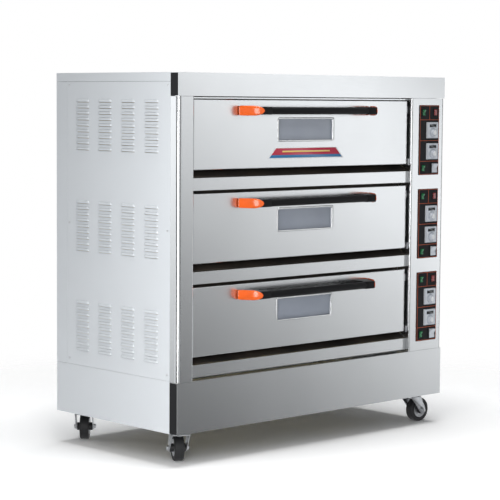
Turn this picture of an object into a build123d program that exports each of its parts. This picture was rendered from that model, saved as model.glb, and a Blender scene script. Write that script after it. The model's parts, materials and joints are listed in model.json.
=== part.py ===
from build123d import *
import math
import os

# Deck oven, three decks on swivel casters. Millimetres, +Z up, front towards -Y.
# Sub-parts are drawn with y = 0 at the front face of the posts and z = 0 on the floor,
# and are shifted once, when written, so that the origin is under the middle of the whole box.

# Overall
body_width = 1608.0
body_depth = 790.0
deck_count = 3

# Sheet metal
sheet = 2.0              # outer sheets and the front frame
liner_sheet = 1.5        # chamber and door inner sheets
seam = 1.0               # gap between neighbouring panels

# Front stack, from the bottom up
skirt_height = 211.0
skirt_gap = 11.0
rail_height = 50.0
sill_gap = 32.0          # from a rail's top to the door's bottom
door_height = 283.0
head_gap = 13.0          # from a door's top to whatever is above it
fascia_height = 94.0
header_strip_height = 5.5
header_strip_drop = 4.0

# Front posts
post_width = 84.0
column_width = 221.0
front_return = 47.0      # depth of the stainless front assembly on the sides
inner_return = 72.0      # depth of the posts' inner sides
outer_corner_radius = 15.0
inner_corner_radius = 6.0
end_cap_thickness = 3.0
end_cap_play = 0.5

# Doors
door_recess = 19.0       # door face behind the posts' face
door_side_gap = 13.0
skin_depth = 30.0
pan_depth = 22.0
pan_inset = 18.0
door_back_gap = 2.0
hinge_height = 10.0      # pivot above the door's bottom edge
hinge_depth = 12.0       # pivot behind the door's face
hinge_pin_radius = 6.0
hinge_pin_length = 11.0
hinge_block = 24.0
running_clearance = 0.05
bracket_thickness = 5.0
bracket_radius = 14.0
door_edge_radius = 3.0

# Door windows
window_width = 325.0
window_height = 88.0
window_above_door_bottom = 116.0
window_reveal = 10.0
pane_thickness = 4.0
pane_lap = 8.0
pane_play = 0.3
inner_window_lap = 10.0

# Door handles
handle_above_door_bottom = 239.0
handle_reach = 95.0      # from the door's face to the front of the tube
handle_half_length = 391.0
handle_taper = 50.0      # how far each end runs in towards the front
handle_foot_length = 84.0
handle_tube_diameter = 30.0
handle_tube_wall = 2.0
handle_foot_height = 32.0
handle_cap_height = 38.0
handle_cap_thickness = 5.0
handle_neck = 26.0       # thickness of the foot where it turns into the grip

# Chambers
chamber_width = 1220.0
chamber_depth = 640.0
chamber_height = 220.0
chamber_above_door_bottom = 22.0
insulation_thickness = 38.0
sill_slope_depth = 47.0
hearth_thickness = 6.0
hearth_above_floor = 34.0
hearth_play = 4.0
hearth_foot = 20.0
element_radius = 4.5
element_pairs = 3        # hairpins above and below in each chamber
element_pitch = 190.0
element_bend = 40.0      # half the width of a hairpin
element_hole_clearance = 0.4
lower_element_height = 16.0
upper_element_drop = 22.0
element_tail = 40.0
element_end_gap = 30.0

# Base and frame
base_tube = 40.0
frame_tube = 30.0
tube_wall = 2.5
shelf_front = 140.0      # cross tubes under each chamber, from the front
shelf_back = 600.0
base_inset = 3.0

# Side panels
side_top_lip = 36.0
back_wrap = 74.0
side_skirt_height = 213.0
louvre_length = 83.0
louvre_slot = 5.0
louvre_pitch = 25.0
louvre_rows = 9
louvre_columns = 4
louvre_column_pitch = 149.0
louvre_first_column = 163.0   # first column's centre from the front
louvre_group_pitch = 425.0
louvre_top_below_body_top = 118.0
back_vent_columns = 5
back_vent_column_pitch = 260.0

# Screws
screw_radius = 2.0
screw_head_radius = 4.2
screw_head_height = 2.2
screw_length = 10.0
screw_hole_clearance = 0.15
screw_edge_inset = 15.0

# Casters
wheel_diameter = 110.0
wheel_width = 40.0
hub_radius = 38.0
hub_width = 34.0
boss_radius = 17.0
boss_width = 66.0
tyre_shoulder = 7.0
axle_radius = 6.0
fork_gap = 70.0
fork_plate = 3.5
fork_leg_width = 30.0
fork_crown_length = 62.0
crown_above_wheel = 6.0
fork_crown_thickness = 4.0
race_radius = 31.0
race_height = 10.4
race_gap = 0.6
caster_plate_length = 105.0
caster_plate_width = 86.0
caster_plate_thickness = 5.0
king_pin_radius = 8.0
king_nut_radius = 13.0
king_nut_height = 7.0
caster_trail = 42.0
caster_side_inset = 96.0
caster_front_inset = 94.0
caster_back_inset = 66.0
caster_names = ("front_left", "front_right", "back_left", "back_right")
caster_rest_angles = (-29.0, -94.0, -43.0, -152.0)   # each fork as it was left standing

# Control plates, measured from each plate's top left corner
plate_width = 134.0
plate_height = 315.0
plate_thickness = 2.0
plate_left_inset = 48.0
plate_below_door_bottom = 50.0
plate_corner_radius = 3.0
column_window_margin = 8.0
thermostat_size = 72.0
thermostat_bezel = 8.0
thermostat_body = 66.0
thermostat_depth = 58.0
thermostat_across = 84.0
thermostat_down = (113.0, 208.0)
display_width = 46.0
display_height = 13.0
display_down = 9.0
display_recess = 1.0
knob_below_centre = 11.0
knob_diameter = 27.0
knob_depth = 14.0
knob_skirt_diameter = 31.0
knob_skirt_depth = 3.0
knob_gap = 0.5
knob_shaft_radius = 3.0
knob_shaft_length = 12.0
knob_ribs = 12
rocker_bezel = 3.5
rocker_play = 0.4
rocker_housing_depth = 24.0
rocker_tilt = 10.0
rocker_lip = 2.0
small_rocker = (18.0, 27.0)
large_rocker = (33.0, 42.0)
small_rocker_across = 27.0
upper_rocker_down = 33.0
lower_rocker_down = 284.0
lamp_across = 107.0
large_rocker_across = 102.0
lamp_dome = 3.0

# Service bay
contactor_size = (45.0, 70.0, 78.0)
contactor_pitch = 58.0
contactor_height = 520.0
din_rail_width = 35.0
din_rail_depth = 8.0
terminal_size = (12.0, 42.0, 40.0)
terminal_count = 5
gland_radius = 15.0
gland_bore_radius = 9.0
gland_reach = 22.0
gland_inside = 14.0
gland_flange_radius = 19.0
gland_flange_thickness = 6.0
gland_height = 420.0
chamber_lamp_radius = 22.0
chamber_lamp_depth = 24.0

# Worked-out sizes
fork_crown_height = wheel_diameter + crown_above_wheel
caster_height = (fork_crown_height + fork_crown_thickness + race_height + race_gap
                 + caster_plate_thickness)
deck_pitch = rail_height + sill_gap + door_height + head_gap
z_base = caster_height
z_front = z_base + skirt_height + skirt_gap
z_fascia = z_front + deck_count * deck_pitch
z_top = z_fascia + fascia_height
x_left = -body_width / 2
x_right = body_width / 2
x_open_left = x_left + post_width
x_open_right = x_right - column_width
x_open_mid = (x_open_left + x_open_right) / 2
door_left = x_open_left + door_side_gap
door_right = x_open_right - door_side_gap
door_thickness = skin_depth + pan_depth
door_back = door_recess + door_thickness
mouth_y = door_back + door_back_gap
handle_front = door_recess - handle_reach
plate_left = x_open_right + plate_left_inset
y_shift = (-handle_front - body_depth - gland_reach) / 2
hinge_y = door_recess + hinge_depth
wheel_radius = wheel_diameter / 2


def rail_z(deck):
    """Bottom of a deck's rail; deck 1 is the top one."""
    return z_front + (deck_count - deck) * deck_pitch


def door_z(deck):
    return rail_z(deck) + rail_height + sill_gap


def plate_z(deck):
    """Top edge of a deck's control plate."""
    return door_z(deck) - plate_below_door_bottom + plate_height


def block(x0, x1, y0, y1, z0, z1):
    return Pos((x0 + x1) / 2, (y0 + y1) / 2, (z0 + z1) / 2) * Box(x1 - x0, y1 - y0, z1 - z0)


def bar(x0, x1, y0, y1, z0, z1):
    """Square tube, open at both ends of its longest side."""
    sizes = [x1 - x0, y1 - y0, z1 - z0]
    bore = [size - 2 * tube_wall for size in sizes]
    longest = sizes.index(max(sizes))
    bore[longest] = sizes[longest] + 2
    centre = Pos((x0 + x1) / 2, (y0 + y1) / 2, (z0 + z1) / 2)
    return centre * (Box(*sizes) - Box(*bore))


def rod(centre, radius, length, axis):
    """Cylinder that starts at centre and runs along axis, such as (1, 0, 0)."""
    return extrude(Plane(centre, z_dir=axis) * Circle(radius), length)


def folded(path, thickness):
    """Outline of a folded sheet: the path, and its copy on the left side of it."""
    points = [Vector(*p) for p in path]
    normals = []
    for start, end in zip(points, points[1:]):
        run = (end - start).normalized()
        normals.append(Vector(-run.Y, run.X))
    pairs = zip([normals[0]] + normals, normals + [normals[-1]])
    copy = [p + (a + b) * (thickness / (1 + a.dot(b))) for p, (a, b) in zip(points, pairs)]
    return points + copy[::-1]


def prism_up(outline, z0, z1):
    return extrude(Plane.XY.offset(z0) * make_face(Polyline(*outline, close=True)), z1 - z0)


def prism_across(outline, x0, x1):
    """Outline in Y and Z, run from x0 to x1."""
    return extrude(Plane.YZ.offset(x0) * make_face(Polyline(*outline, close=True)), x1 - x0)


def round_upright(solid, x, y, radius):
    """Round the upright edges that stand at x, y."""
    edges = [e for e in solid.edges().filter_by(Axis.Z)
             if abs(e.center().X - x) < 0.01 and abs(e.center().Y - y) < 0.01]
    return fillet(edges, radius)


def write(name, *solids):
    pieces = []
    for item in solids:
        moved = Pos(0, y_shift, 0) * item
        pieces += moved.solids()
    shape = pieces[0] if len(pieces) == 1 else Compound(children=pieces)
    shape.label = name
    export_step(shape, f"parts/{name}.step")


# Screws

def screw_sites():
    """Where a panel screw sits: point on the panel's face, and the way its head points."""
    sites = []
    side_y = (front_return + seam + screw_edge_inset,
              body_depth - back_wrap - seam - screw_edge_inset)
    z_low = z_base + side_skirt_height + seam + screw_edge_inset + 10
    z_high = z_top - side_top_lip - seam - screw_edge_inset
    for x, out in ((x_left, -1), (x_right, 1)):
        for y in side_y:
            for z in (z_low, (z_low + z_high) / 2, z_high):
                sites.append(((x, y, z), (out, 0, 0)))
    for x in (x_left + screw_edge_inset, 0, x_right - screw_edge_inset):
        for z in (z_low, z_high):
            sites.append(((x, body_depth, z), (0, 1, 0)))
    return sites


def screws():
    made = []
    for (x, y, z), (dx, dy, dz) in screw_sites():
        head = rod((x, y, z), screw_head_radius, screw_head_height, (dx, dy, dz))
        rim = head.edges().filter_by(GeomType.CIRCLE).sort_by_distance((x, y, z))[-1]
        head = fillet(rim, screw_head_height * 0.6)
        made.append(head + rod((x, y, z), screw_radius, screw_length, (-dx, -dy, -dz)))
    return made


def screw_holes(along):
    """Clearance holes for the screws whose heads point along X or along Y."""
    holes = []
    for (x, y, z), direction in screw_sites():
        if (direction[0] != 0) == (along == "x"):
            back = tuple(-d for d in direction)
            holes.append(rod((x, y, z), screw_radius + screw_hole_clearance, screw_length + 1, back))
    return holes


# Frame and base

def base_bars():
    """Base ring with a middle tube, and a short tube over each pair of caster plates."""
    x0, x1 = x_left + sheet + base_inset, x_right - sheet - base_inset
    y0, y1 = sheet + base_inset, body_depth - sheet - base_inset
    z0, z1 = z_base, z_base + base_tube
    t = base_tube
    bars = [bar(x0, x1, y0, y0 + t, z0, z1), bar(x0, x1, y1 - t, y1, z0, z1)]
    for x in (x0, x1 - t, -t / 2):
        bars.append(bar(x, x + t, y0 + t, y1 - t, z0, z1))
    for name in caster_names:
        y = caster_place(name)[1] - t / 2
        left, right = (x0 + t, -t / 2) if name.endswith("left") else (t / 2, x1 - t)
        bars.append(bar(left, right, y, y + t, z0, z1))
    return bars


def frame_bars():
    """Uprights, the top ring, and the shelf that carries each chamber."""
    t = frame_tube
    z_top_bar = z_top - sheet - seam
    y_bars = (front_return + seam, body_depth - sheet - t)
    x_bars = (x_left + sheet, x_right - sheet - t)
    inner_x, inner_y = (x_bars[0] + t, x_bars[1]), (y_bars[0] + t, y_bars[1])
    bars = [bar(x, x + t, y, y + t, z_base + base_tube, z_top_bar) for x in x_bars for y in y_bars]
    bars += [bar(*inner_x, y, y + t, z_top_bar - t, z_top_bar) for y in y_bars]
    bars += [bar(x, x + t, *inner_y, z_top_bar - t, z_top_bar) for x in x_bars]
    for deck in range(1, deck_count + 1):
        z1 = chamber_box(deck, liner_sheet + seam + insulation_thickness)[4]
        bars += [bar(x, x + t, *inner_y, z1 - t, z1) for x in x_bars]
        bars += [bar(*inner_x, y, y + t, z1 - t, z1) for y in (shelf_front, shelf_back)]
    return bars


def caster_place(name):
    x = x_left + caster_side_inset if name.endswith("left") else x_right - caster_side_inset
    y = caster_front_inset if name.startswith("front") else body_depth - caster_back_inset
    return x, y


def caster_mount(name):
    """Fixed top plate with its king pin and nut; the fork turns between plate and nut."""
    x, y = caster_place(name)
    top = z_base
    plate = block(x - caster_plate_length / 2, x + caster_plate_length / 2,
                  y - caster_plate_width / 2, y + caster_plate_width / 2,
                  top - caster_plate_thickness, top)
    nut_top = fork_crown_height - race_gap
    pin = rod((x, y, top - caster_plate_thickness), king_pin_radius,
              top - caster_plate_thickness - nut_top, (0, 0, -1))
    nut = extrude(Plane((x, y, nut_top), z_dir=(0, 0, -1)) * RegularPolygon(king_nut_radius, 6),
                  king_nut_height)
    return plate + pin + nut


# Casters, drawn with the swivel axis on Z and the trail towards +Y

def fork():
    half = fork_gap / 2
    outer = half + fork_plate
    z0, z1 = fork_crown_height, fork_crown_height + fork_crown_thickness
    front, back = -fork_crown_length / 2, fork_crown_length / 2
    race_top = z_base - caster_plate_thickness - race_gap
    shape = block(-outer, outer, front, back, z0, z1)
    shape += rod((0, 0, z1), race_radius, race_top - z1, (0, 0, 1))
    leg_side = make_hull([
        *Line((front, z1), (back, z1)).edges(),
        *(Pos(caster_trail, wheel_radius) * Circle(fork_leg_width / 2)).edges()])
    leg = extrude(Plane.YZ * leg_side, fork_plate)
    shape += Pos(half, 0, 0) * leg + Pos(-outer, 0, 0) * leg
    shape -= rod((0, 0, 0), king_pin_radius + running_clearance, caster_height, (0, 0, 1))
    axle_hole = rod((-outer - 1, caster_trail, wheel_radius), axle_radius + running_clearance,
                    2 * outer + 2, (1, 0, 0))
    return shape - axle_hole


def axle_bolt():
    outer = fork_gap / 2 + fork_plate
    left = (-outer - 8, caster_trail, wheel_radius)
    bolt = rod(left, axle_radius, 2 * outer + 18, (1, 0, 0))
    for x in (-outer - 8, outer):
        head = Plane((x, caster_trail, wheel_radius), z_dir=(1, 0, 0)) * RegularPolygon(10.5, 6)
        bolt += extrude(head, 8)
    return bolt


def wheel():
    """Tyre and hub, turned about the axle."""
    r0, r1 = hub_radius, wheel_radius
    tyre = extrude(Circle(r1) - Circle(r0), wheel_width)
    rims = [e for e in tyre.edges().filter_by(GeomType.CIRCLE) if abs(e.radius - r1) < 0.01]
    tyre = fillet(rims, tyre_shoulder)
    web = (wheel_width - hub_width) / 2
    hub = Pos(0, 0, web) * extrude(Circle(r0), hub_width)
    for face in (0, 1):
        dish = extrude(Circle(r0 - 5) - Circle(boss_radius), 6)
        hub -= Pos(0, 0, web + face * (hub_width - 6)) * dish
    hub += Pos(0, 0, (wheel_width - boss_width) / 2) * extrude(Circle(boss_radius), boss_width)
    bore = Circle(axle_radius + running_clearance)
    hub -= Pos(0, 0, -boss_width) * extrude(bore, 3 * boss_width)
    turned = Pos(-wheel_width / 2, caster_trail, wheel_radius) * Rot(0, 90, 0)
    return [turned * tyre, turned * hub]


def casters():
    for name, angle in zip(caster_names, caster_rest_angles):
        x, y = caster_place(name)
        place = Pos(x, y, 0) * Rot(0, 0, angle)
        write(f"caster_fork_{name}", place * fork(), place * axle_bolt())
        write(f"caster_wheel_{name}", *[place * piece for piece in wheel()])


# Outer panels

def louvre_slots(x0, x1):
    """Slots through a side panel between x0 and x1."""
    slots = []
    for group in range(deck_count):
        for column in range(louvre_columns):
            for row in range(louvre_rows):
                y = louvre_first_column + column * louvre_column_pitch
                z = z_top - louvre_top_below_body_top
                z -= group * louvre_group_pitch + row * louvre_pitch
                half = louvre_length / 2
                slots.append(block(x0, x1, y - half, y + half, z - louvre_slot, z))
    return slots


def side_panel(x0):
    y0, y1 = front_return + seam, body_depth - back_wrap - seam
    z0 = z_base + side_skirt_height + seam
    z1 = z_top - side_top_lip - seam
    panel = block(x0, x0 + sheet, y0, y1, z0, z1)
    return panel - louvre_slots(x0 - 1, x0 + sheet + 1) - screw_holes("x")


def back_panel():
    """Back sheet with its wrapped edges, cooling slots and the cable gland's hole."""
    z0 = z_base + side_skirt_height + seam
    z1 = z_top - side_top_lip - seam
    path = [(x_right, body_depth - back_wrap), (x_right, body_depth),
            (x_left, body_depth), (x_left, body_depth - back_wrap)]
    panel = prism_up(folded(path, sheet), z0, z1) - screw_holes("y")
    slots = []
    for column in range(back_vent_columns):
        x = (column - (back_vent_columns - 1) / 2) * back_vent_column_pitch
        for group in range(deck_count):
            for row in range(louvre_rows):
                z = z_top - louvre_top_below_body_top
                z -= group * louvre_group_pitch + row * louvre_pitch
                slots.append(block(x - louvre_length / 2, x + louvre_length / 2,
                                   body_depth - sheet - 1, body_depth + 1, z - louvre_slot, z))
    gland = rod((gland_x(), body_depth - sheet - 1, gland_z()), gland_radius + running_clearance,
                sheet + 2, (0, 1, 0))
    return panel - slots - gland


def top_panel():
    z1 = z_top
    z0 = z_top - side_top_lip
    y0 = front_return + seam
    outer = block(x_left, x_right, y0, body_depth, z0, z1)
    inside = block(x_left + sheet, x_right - sheet, y0 - 1, body_depth - sheet, z0 - 1, z1 - sheet)
    return outer - inside


def side_skirt(x0):
    z0, z1 = z_base, z_base + side_skirt_height
    return block(x0, x0 + sheet, front_return + seam, body_depth - sheet, z0, z1)


def back_skirt():
    return block(x_left, x_right, body_depth - sheet, body_depth,
                 z_base, z_base + side_skirt_height)


def top_fascia():
    """Front sheet, folded back at the top and with a small lip at the bottom."""
    path = [(front_return, z_top), (0, z_top), (0, z_fascia), (door_recess, z_fascia)]
    return prism_across(folded(path, sheet), x_left, x_right)


def front_skirt():
    z1 = z_base + skirt_height
    path = [(front_return, z1), (0, z1), (0, z_base), (base_inset + sheet - seam / 2, z_base)]
    return prism_across(folded(path, sheet), x_left, x_right)


def end_cap(x0, z0, z1):
    return block(x0, x0 + end_cap_thickness, sheet + end_cap_play, front_return,
                 z0 + sheet + end_cap_play, z1 - sheet - end_cap_play)


def end_caps():
    caps = []
    for x0 in (x_left, x_right - end_cap_thickness):
        caps.append(end_cap(x0, z_fascia, z_top))
        caps.append(end_cap(x0, z_base, z_base + skirt_height))
    return caps


def left_post():
    path = [(x_left, front_return), (x_left, 0), (x_open_left, 0), (x_open_left, inner_return)]
    post = prism_up(folded(path, sheet), z_front - skirt_gap + seam, z_fascia - seam)
    post = round_upright(post, x_left + sheet, sheet, outer_corner_radius - sheet)
    post = round_upright(post, x_left, 0, outer_corner_radius)
    post = round_upright(post, x_open_left - sheet, sheet, inner_corner_radius - sheet)
    return round_upright(post, x_open_left, 0, inner_corner_radius)


def control_column():
    path = [(x_open_right, inner_return), (x_open_right, 0), (x_right, 0), (x_right, front_return)]
    column = prism_up(folded(path, sheet), z_front - skirt_gap + seam, z_fascia - seam)
    column = round_upright(column, x_right - sheet, sheet, outer_corner_radius - sheet)
    column = round_upright(column, x_right, 0, outer_corner_radius)
    column = round_upright(column, x_open_right + sheet, sheet, inner_corner_radius - sheet)
    column = round_upright(column, x_open_right, 0, inner_corner_radius)
    margin = column_window_margin
    for deck in range(1, deck_count + 1):
        top = plate_z(deck)
        column -= block(plate_left + margin, plate_left + plate_width - margin, -1, sheet + 1,
                        top - plate_height + margin, top - margin)
    return column


def front_rails():
    """One stainless rail under each door, and a thin strip above the top door."""
    rails = []
    for deck in range(1, deck_count + 1):
        z0 = rail_z(deck)
        path = [(door_recess + 20, z0 + rail_height), (door_recess, z0 + rail_height),
                (door_recess, z0), (door_recess + 20, z0)]
        rails.append(prism_across(folded(path, sheet), x_open_left + seam, x_open_right - seam))
    z1 = z_fascia - header_strip_drop
    rails.append(block(x_open_left + seam, x_open_right - seam, door_recess + 5, door_recess + 25,
                       z1 - header_strip_height, z1))
    return rails


# Doors

def window_frame(deck, grow):
    """Window opening, grown on every side: x0, x1, z0, z1."""
    half = window_width / 2 + grow
    z0 = door_z(deck) + window_above_door_bottom
    return x_open_mid - half, x_open_mid + half, z0 - grow, z0 + window_height + grow


def window_block(deck, grow, y0, y1):
    x0, x1, z0, z1 = window_frame(deck, grow)
    return block(x0, x1, y0, y1, z0, z1)


def door_skin(deck):
    """Outer tray of the door, with a turned-in reveal around the window."""
    z0, z1 = door_z(deck), door_z(deck) + door_height
    y0, y1 = door_recess, door_recess + skin_depth
    tray = block(door_left, door_right, y0, y1, z0, z1)
    tray = fillet(tray.faces().sort_by(Axis.Y)[0].edges(), door_edge_radius)
    tray -= block(door_left + sheet, door_right - sheet, y0 + sheet, y1 + 1,
                  z0 + sheet, z1 - sheet)
    tray += window_block(deck, sheet, y0 + sheet, y0 + window_reveal)
    return tray - window_block(deck, 0, y0 - 1, y0 + window_reveal + 1)


def door_inner(deck):
    """Back pan with its flange, the tunnel between the panes, and the hinge pins."""
    z0, z1 = door_z(deck), door_z(deck) + door_height
    y0, y1 = door_recess + skin_depth, door_back
    t = liner_sheet
    x0, x1 = door_left + pan_inset, door_right - pan_inset
    flange = block(door_left, door_right, y0, y0 + t, z0, z1)
    pan = block(x0, x1, y0, y1, z0 + pan_inset, z1 - pan_inset)
    inside = block(x0 + t, x1 - t, y0 - 1, y1 - t, z0 + pan_inset + t, z1 - pan_inset - t)
    shape = flange + pan - inside - window_block(deck, -inner_window_lap, y1 - t - 1, y1 + 1)
    front_pane_back = door_recess + window_reveal + pane_thickness + 2 * pane_play
    back_pane_front = y1 - t - pane_thickness - 2 * pane_play
    tunnel = window_block(deck, t, front_pane_back, back_pane_front)
    tunnel -= window_block(deck, 0, front_pane_back - 1, back_pane_front + 1)
    pieces = [shape, tunnel]
    zc = z0 + hinge_height
    block_z = (z0 + sheet + seam / 2, z0 + sheet + seam / 2 + hinge_block)
    block_y = (door_recess + sheet + seam / 2, y0)
    for edge, out in ((door_left, -1), (door_right, 1)):
        pieces.append(rod((edge, hinge_y, zc), hinge_pin_radius, hinge_pin_length, (out, 0, 0)))
        inner = edge - out * sheet
        ends = sorted((inner, inner - out * hinge_block))
        pieces.append(block(*ends, *block_y, *block_z))
    return pieces


def door_glass(deck):
    y0 = door_recess + window_reveal + pane_play
    y1 = door_back - liner_sheet - pane_play
    outer = window_block(deck, pane_lap, y0, y0 + pane_thickness)
    inner = window_block(deck, pane_lap, y1 - pane_thickness, y1)
    return [outer, inner]


def handle_foot_outline(side, grow=0.0):
    """Plan of one foot: its back on the door, its outer side cut in towards the front."""
    outer = handle_half_length + grow
    back = door_recess
    front = handle_front + 2
    neck = front + handle_neck
    inner = handle_half_length - handle_foot_length
    tip = outer - handle_taper
    points = [(outer, back), (tip, front), (inner - 20, front), (inner - 20, neck),
              (inner, neck + 12), (inner, back)]
    return [(x_open_mid + side * x, y) for x, y in points]


def door_handle(deck):
    """Grip tube and its two feet."""
    zc = door_z(deck) + handle_above_door_bottom
    yc = handle_front + handle_tube_diameter / 2
    half_tube = handle_half_length - handle_foot_length - 20
    start = (x_open_mid - half_tube, yc, zc)
    grip = rod(start, handle_tube_diameter / 2, 2 * half_tube, (1, 0, 0))
    grip -= rod(start, handle_tube_diameter / 2 - handle_tube_wall, 2 * half_tube, (1, 0, 0))
    pieces = [grip]
    for side in (-1, 1):
        z0 = zc - handle_foot_height / 2
        foot = prism_up(handle_foot_outline(side), z0, z0 + handle_foot_height)
        rims = foot.faces().sort_by(Axis.Y)[0].edges().filter_by(Axis.X)
        pieces.append(fillet(rims, 8))
    return pieces


def handle_cap(deck, side):
    """Cover on the slanted outer side of a foot."""
    zc = door_z(deck) + handle_above_door_bottom
    t = handle_cap_thickness
    outer, tip = handle_half_length, handle_half_length - handle_taper
    run = Vector(tip - outer, handle_front + 2 - door_recess).normalized()
    out = Vector(-run.Y, run.X)
    start = Vector(outer, door_recess)
    end = Vector(tip, handle_front + 2)
    lift = 0.2
    points = [start + out * lift, end + out * lift,
              end + out * (lift + t * 0.6), start + out * (lift + t) + run * 3]
    points = [(x_open_mid + side * p.X, p.Y) for p in points]
    z0 = zc - handle_cap_height / 2
    cap = prism_up(points, z0, z0 + handle_cap_height)
    return cap


def doors():
    for deck in range(1, deck_count + 1):
        write(f"door_{deck}_skin", door_skin(deck))
        write(f"door_{deck}_inner", *door_inner(deck))
        write(f"door_{deck}_glass", *door_glass(deck))
        write(f"door_{deck}_handle", *door_handle(deck))
        write(f"door_{deck}_caps", handle_cap(deck, -1), handle_cap(deck, 1))


def door_brackets():
    """Bored plates that carry the hinge pins, and a roller catch near each door's top."""
    pieces = []
    for deck in range(1, deck_count + 1):
        zc = door_z(deck) + hinge_height
        for wall, inward in ((x_open_left, 1), (x_open_right, -1)):
            ends = sorted((wall, wall + inward * bracket_thickness))
            z0 = zc - bracket_radius
            plate = block(*ends, hinge_y - bracket_radius, inner_return, z0, zc + bracket_radius)
            hole = rod((ends[0] - 1, hinge_y, zc), hinge_pin_radius + running_clearance,
                       bracket_thickness + 2, (1, 0, 0))
            pieces.append(plate - hole)
            zt = door_z(deck) + door_height - 40
            body = block(*ends, door_recess + 12, door_recess + 40, zt - 16, zt + 16)
            start = ends[1] if inward > 0 else ends[0]
            roller = rod((start, door_recess + 26, zt), 9, door_side_gap - bracket_thickness - 2,
                         (inward, 0, 0))
            pieces.append(body + roller)
    return pieces


# Chambers

def chamber_box(deck, grow):
    half = chamber_width / 2 + grow
    z0 = door_z(deck) + chamber_above_door_bottom
    y1 = mouth_y + chamber_depth + grow
    return x_open_mid - half, x_open_mid + half, mouth_y, y1, z0 - grow, z0 + chamber_height + grow


def chamber_liner(deck):
    """Sloping sill, front flange and the five-sided baking chamber, from one sheet."""
    t = liner_sheet
    z_sill, z_door = rail_z(deck) + rail_height, door_z(deck)
    z_head = rail_z(deck) + deck_pitch
    x0 = x_open_left + bracket_thickness + seam / 2
    x1 = x_open_right - bracket_thickness - seam / 2
    y_slope = door_recess + sheet + seam
    path = [(mouth_y, z_head - seam), (mouth_y, z_door - seam),
            (y_slope + sill_slope_depth, z_door - seam), (y_slope, z_sill + seam + 2 * t)]
    front = prism_across(folded(path, t), x0, x1)
    box = block(*chamber_box(deck, t)) + front
    x_in0, x_in1, y_in0, y_in1, z_in0, z_in1 = chamber_box(deck, 0)
    box -= block(x_in0, x_in1, y_in0 - 2 * t, y_in1, z_in0, z_in1)
    box -= lamp_holes(deck)
    return box - element_holes(deck)


def insulation(deck):
    t = insulation_thickness
    gap = seam / 2
    x0, x1, y0, y1, z0, z1 = chamber_box(deck, liner_sheet + gap)
    slab = block(x0 - t, x1 + t, y0 + liner_sheet + seam, y1 + t, z0 - t, z1 + t)
    slab -= block(x0, x1, y0 - 1, y1, z0, z1)
    return slab - element_holes(deck) - lamp_holes(deck)


def hearth(deck):
    x0, x1, y0, y1, z0, _ = chamber_box(deck, -hearth_play)
    low = z0 - hearth_play + hearth_above_floor
    plate = block(x0, x1, y0 + hearth_play, y1, low, low + hearth_thickness)
    half = hearth_foot / 2
    feet = []
    for x in (x0 + half, x_open_mid, x1 - half):
        for step in range(element_pairs + 1):
            y = (y0 + y1) / 2 + (step - element_pairs / 2) * element_pitch
            feet.append(block(x - half, x + half, y - half, y + half, z0 - hearth_play, low))
    return plate + feet


def element_rows(deck):
    """Height and depth of each hairpin in a chamber."""
    y0, y1, z0, z1 = chamber_box(deck, 0)[2:]
    middle = (y0 + y1) / 2
    rows = []
    for z in (z0 + lower_element_height, z1 - upper_element_drop):
        for pair in range(element_pairs):
            rows.append((middle + (pair - (element_pairs - 1) / 2) * element_pitch, z))
    return rows


def element(deck, y, z):
    """Hairpin whose two tails come out through the chamber's right wall."""
    x0, x1 = chamber_box(deck, 0)[:2]
    tail = x1 + insulation_thickness + element_tail
    turn = x0 + element_end_gap + element_bend
    b = element_bend
    path = (Line((tail, y - b, z), (turn, y - b, z))
            + ThreePointArc((turn, y - b, z), (turn - b, y, z), (turn, y + b, z))
            + Line((turn, y + b, z), (tail, y + b, z)))
    return sweep(Plane((tail, y - b, z), z_dir=(-1, 0, 0)) * Circle(element_radius), path=path)


def element_holes(deck):
    x1 = chamber_box(deck, 0)[1]
    radius = element_radius + element_hole_clearance
    return [rod((x1 - 5, y + s * element_bend, z), radius, insulation_thickness + 12, (1, 0, 0))
            for y, z in element_rows(deck) for s in (-1, 1)]


def lamp_centre(deck):
    _, x1, y0, _, z0, z1 = chamber_box(deck, 0)
    return x1, y0 + 90, (z0 + z1) / 2 + 40


def lamp_holes(deck):
    x, y, z = lamp_centre(deck)
    return [rod((x - 3, y, z), chamber_lamp_radius + 0.5, insulation_thickness + 12, (1, 0, 0))]


def chamber_lamp(deck):
    """Glass jar that stands a little into the chamber, with its socket in the wall."""
    x, y, z = lamp_centre(deck)
    jar = rod((x - chamber_lamp_depth, y, z), chamber_lamp_radius, chamber_lamp_depth + 20, (1, 0, 0))
    return fillet(jar.edges().filter_by(GeomType.CIRCLE).sort_by(Axis.X)[0], 14)


# Controls

def plate_point(deck, across, down):
    return plate_left + across, plate_z(deck) - down


def rocker_sites(deck):
    """Name, centre and size of each rocker on a deck's plate."""
    return [("upper", *plate_point(deck, small_rocker_across, upper_rocker_down), small_rocker),
            ("lower", *plate_point(deck, small_rocker_across, lower_rocker_down), small_rocker),
            ("main", *plate_point(deck, large_rocker_across, lower_rocker_down), large_rocker)]


def lamp_site(deck):
    return (*plate_point(deck, lamp_across, upper_rocker_down), small_rocker)


def thermostat_sites(deck):
    return [(number + 1, *plate_point(deck, thermostat_across, down))
            for number, down in enumerate(thermostat_down)]


def rocker_housing(x, z, size):
    """Bezel on the plate and the switch's body behind it, open where the rocker sits."""
    w, h = size[0] / 2 + rocker_play, size[1] / 2 + rocker_play
    b = rocker_bezel
    y0 = -plate_thickness - rocker_lip
    bezel = block(x - w - b, x + w + b, y0, -plate_thickness, z - h - b, z + h + b)
    body = block(x - w - 1.5, x + w + 1.5, -plate_thickness, rocker_housing_depth,
                 z - h - 1.5, z + h + 1.5)
    well = block(x - w, x + w, y0 - 1, rocker_housing_depth - 3, z - h, z + h)
    return bezel + body - well


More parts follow.
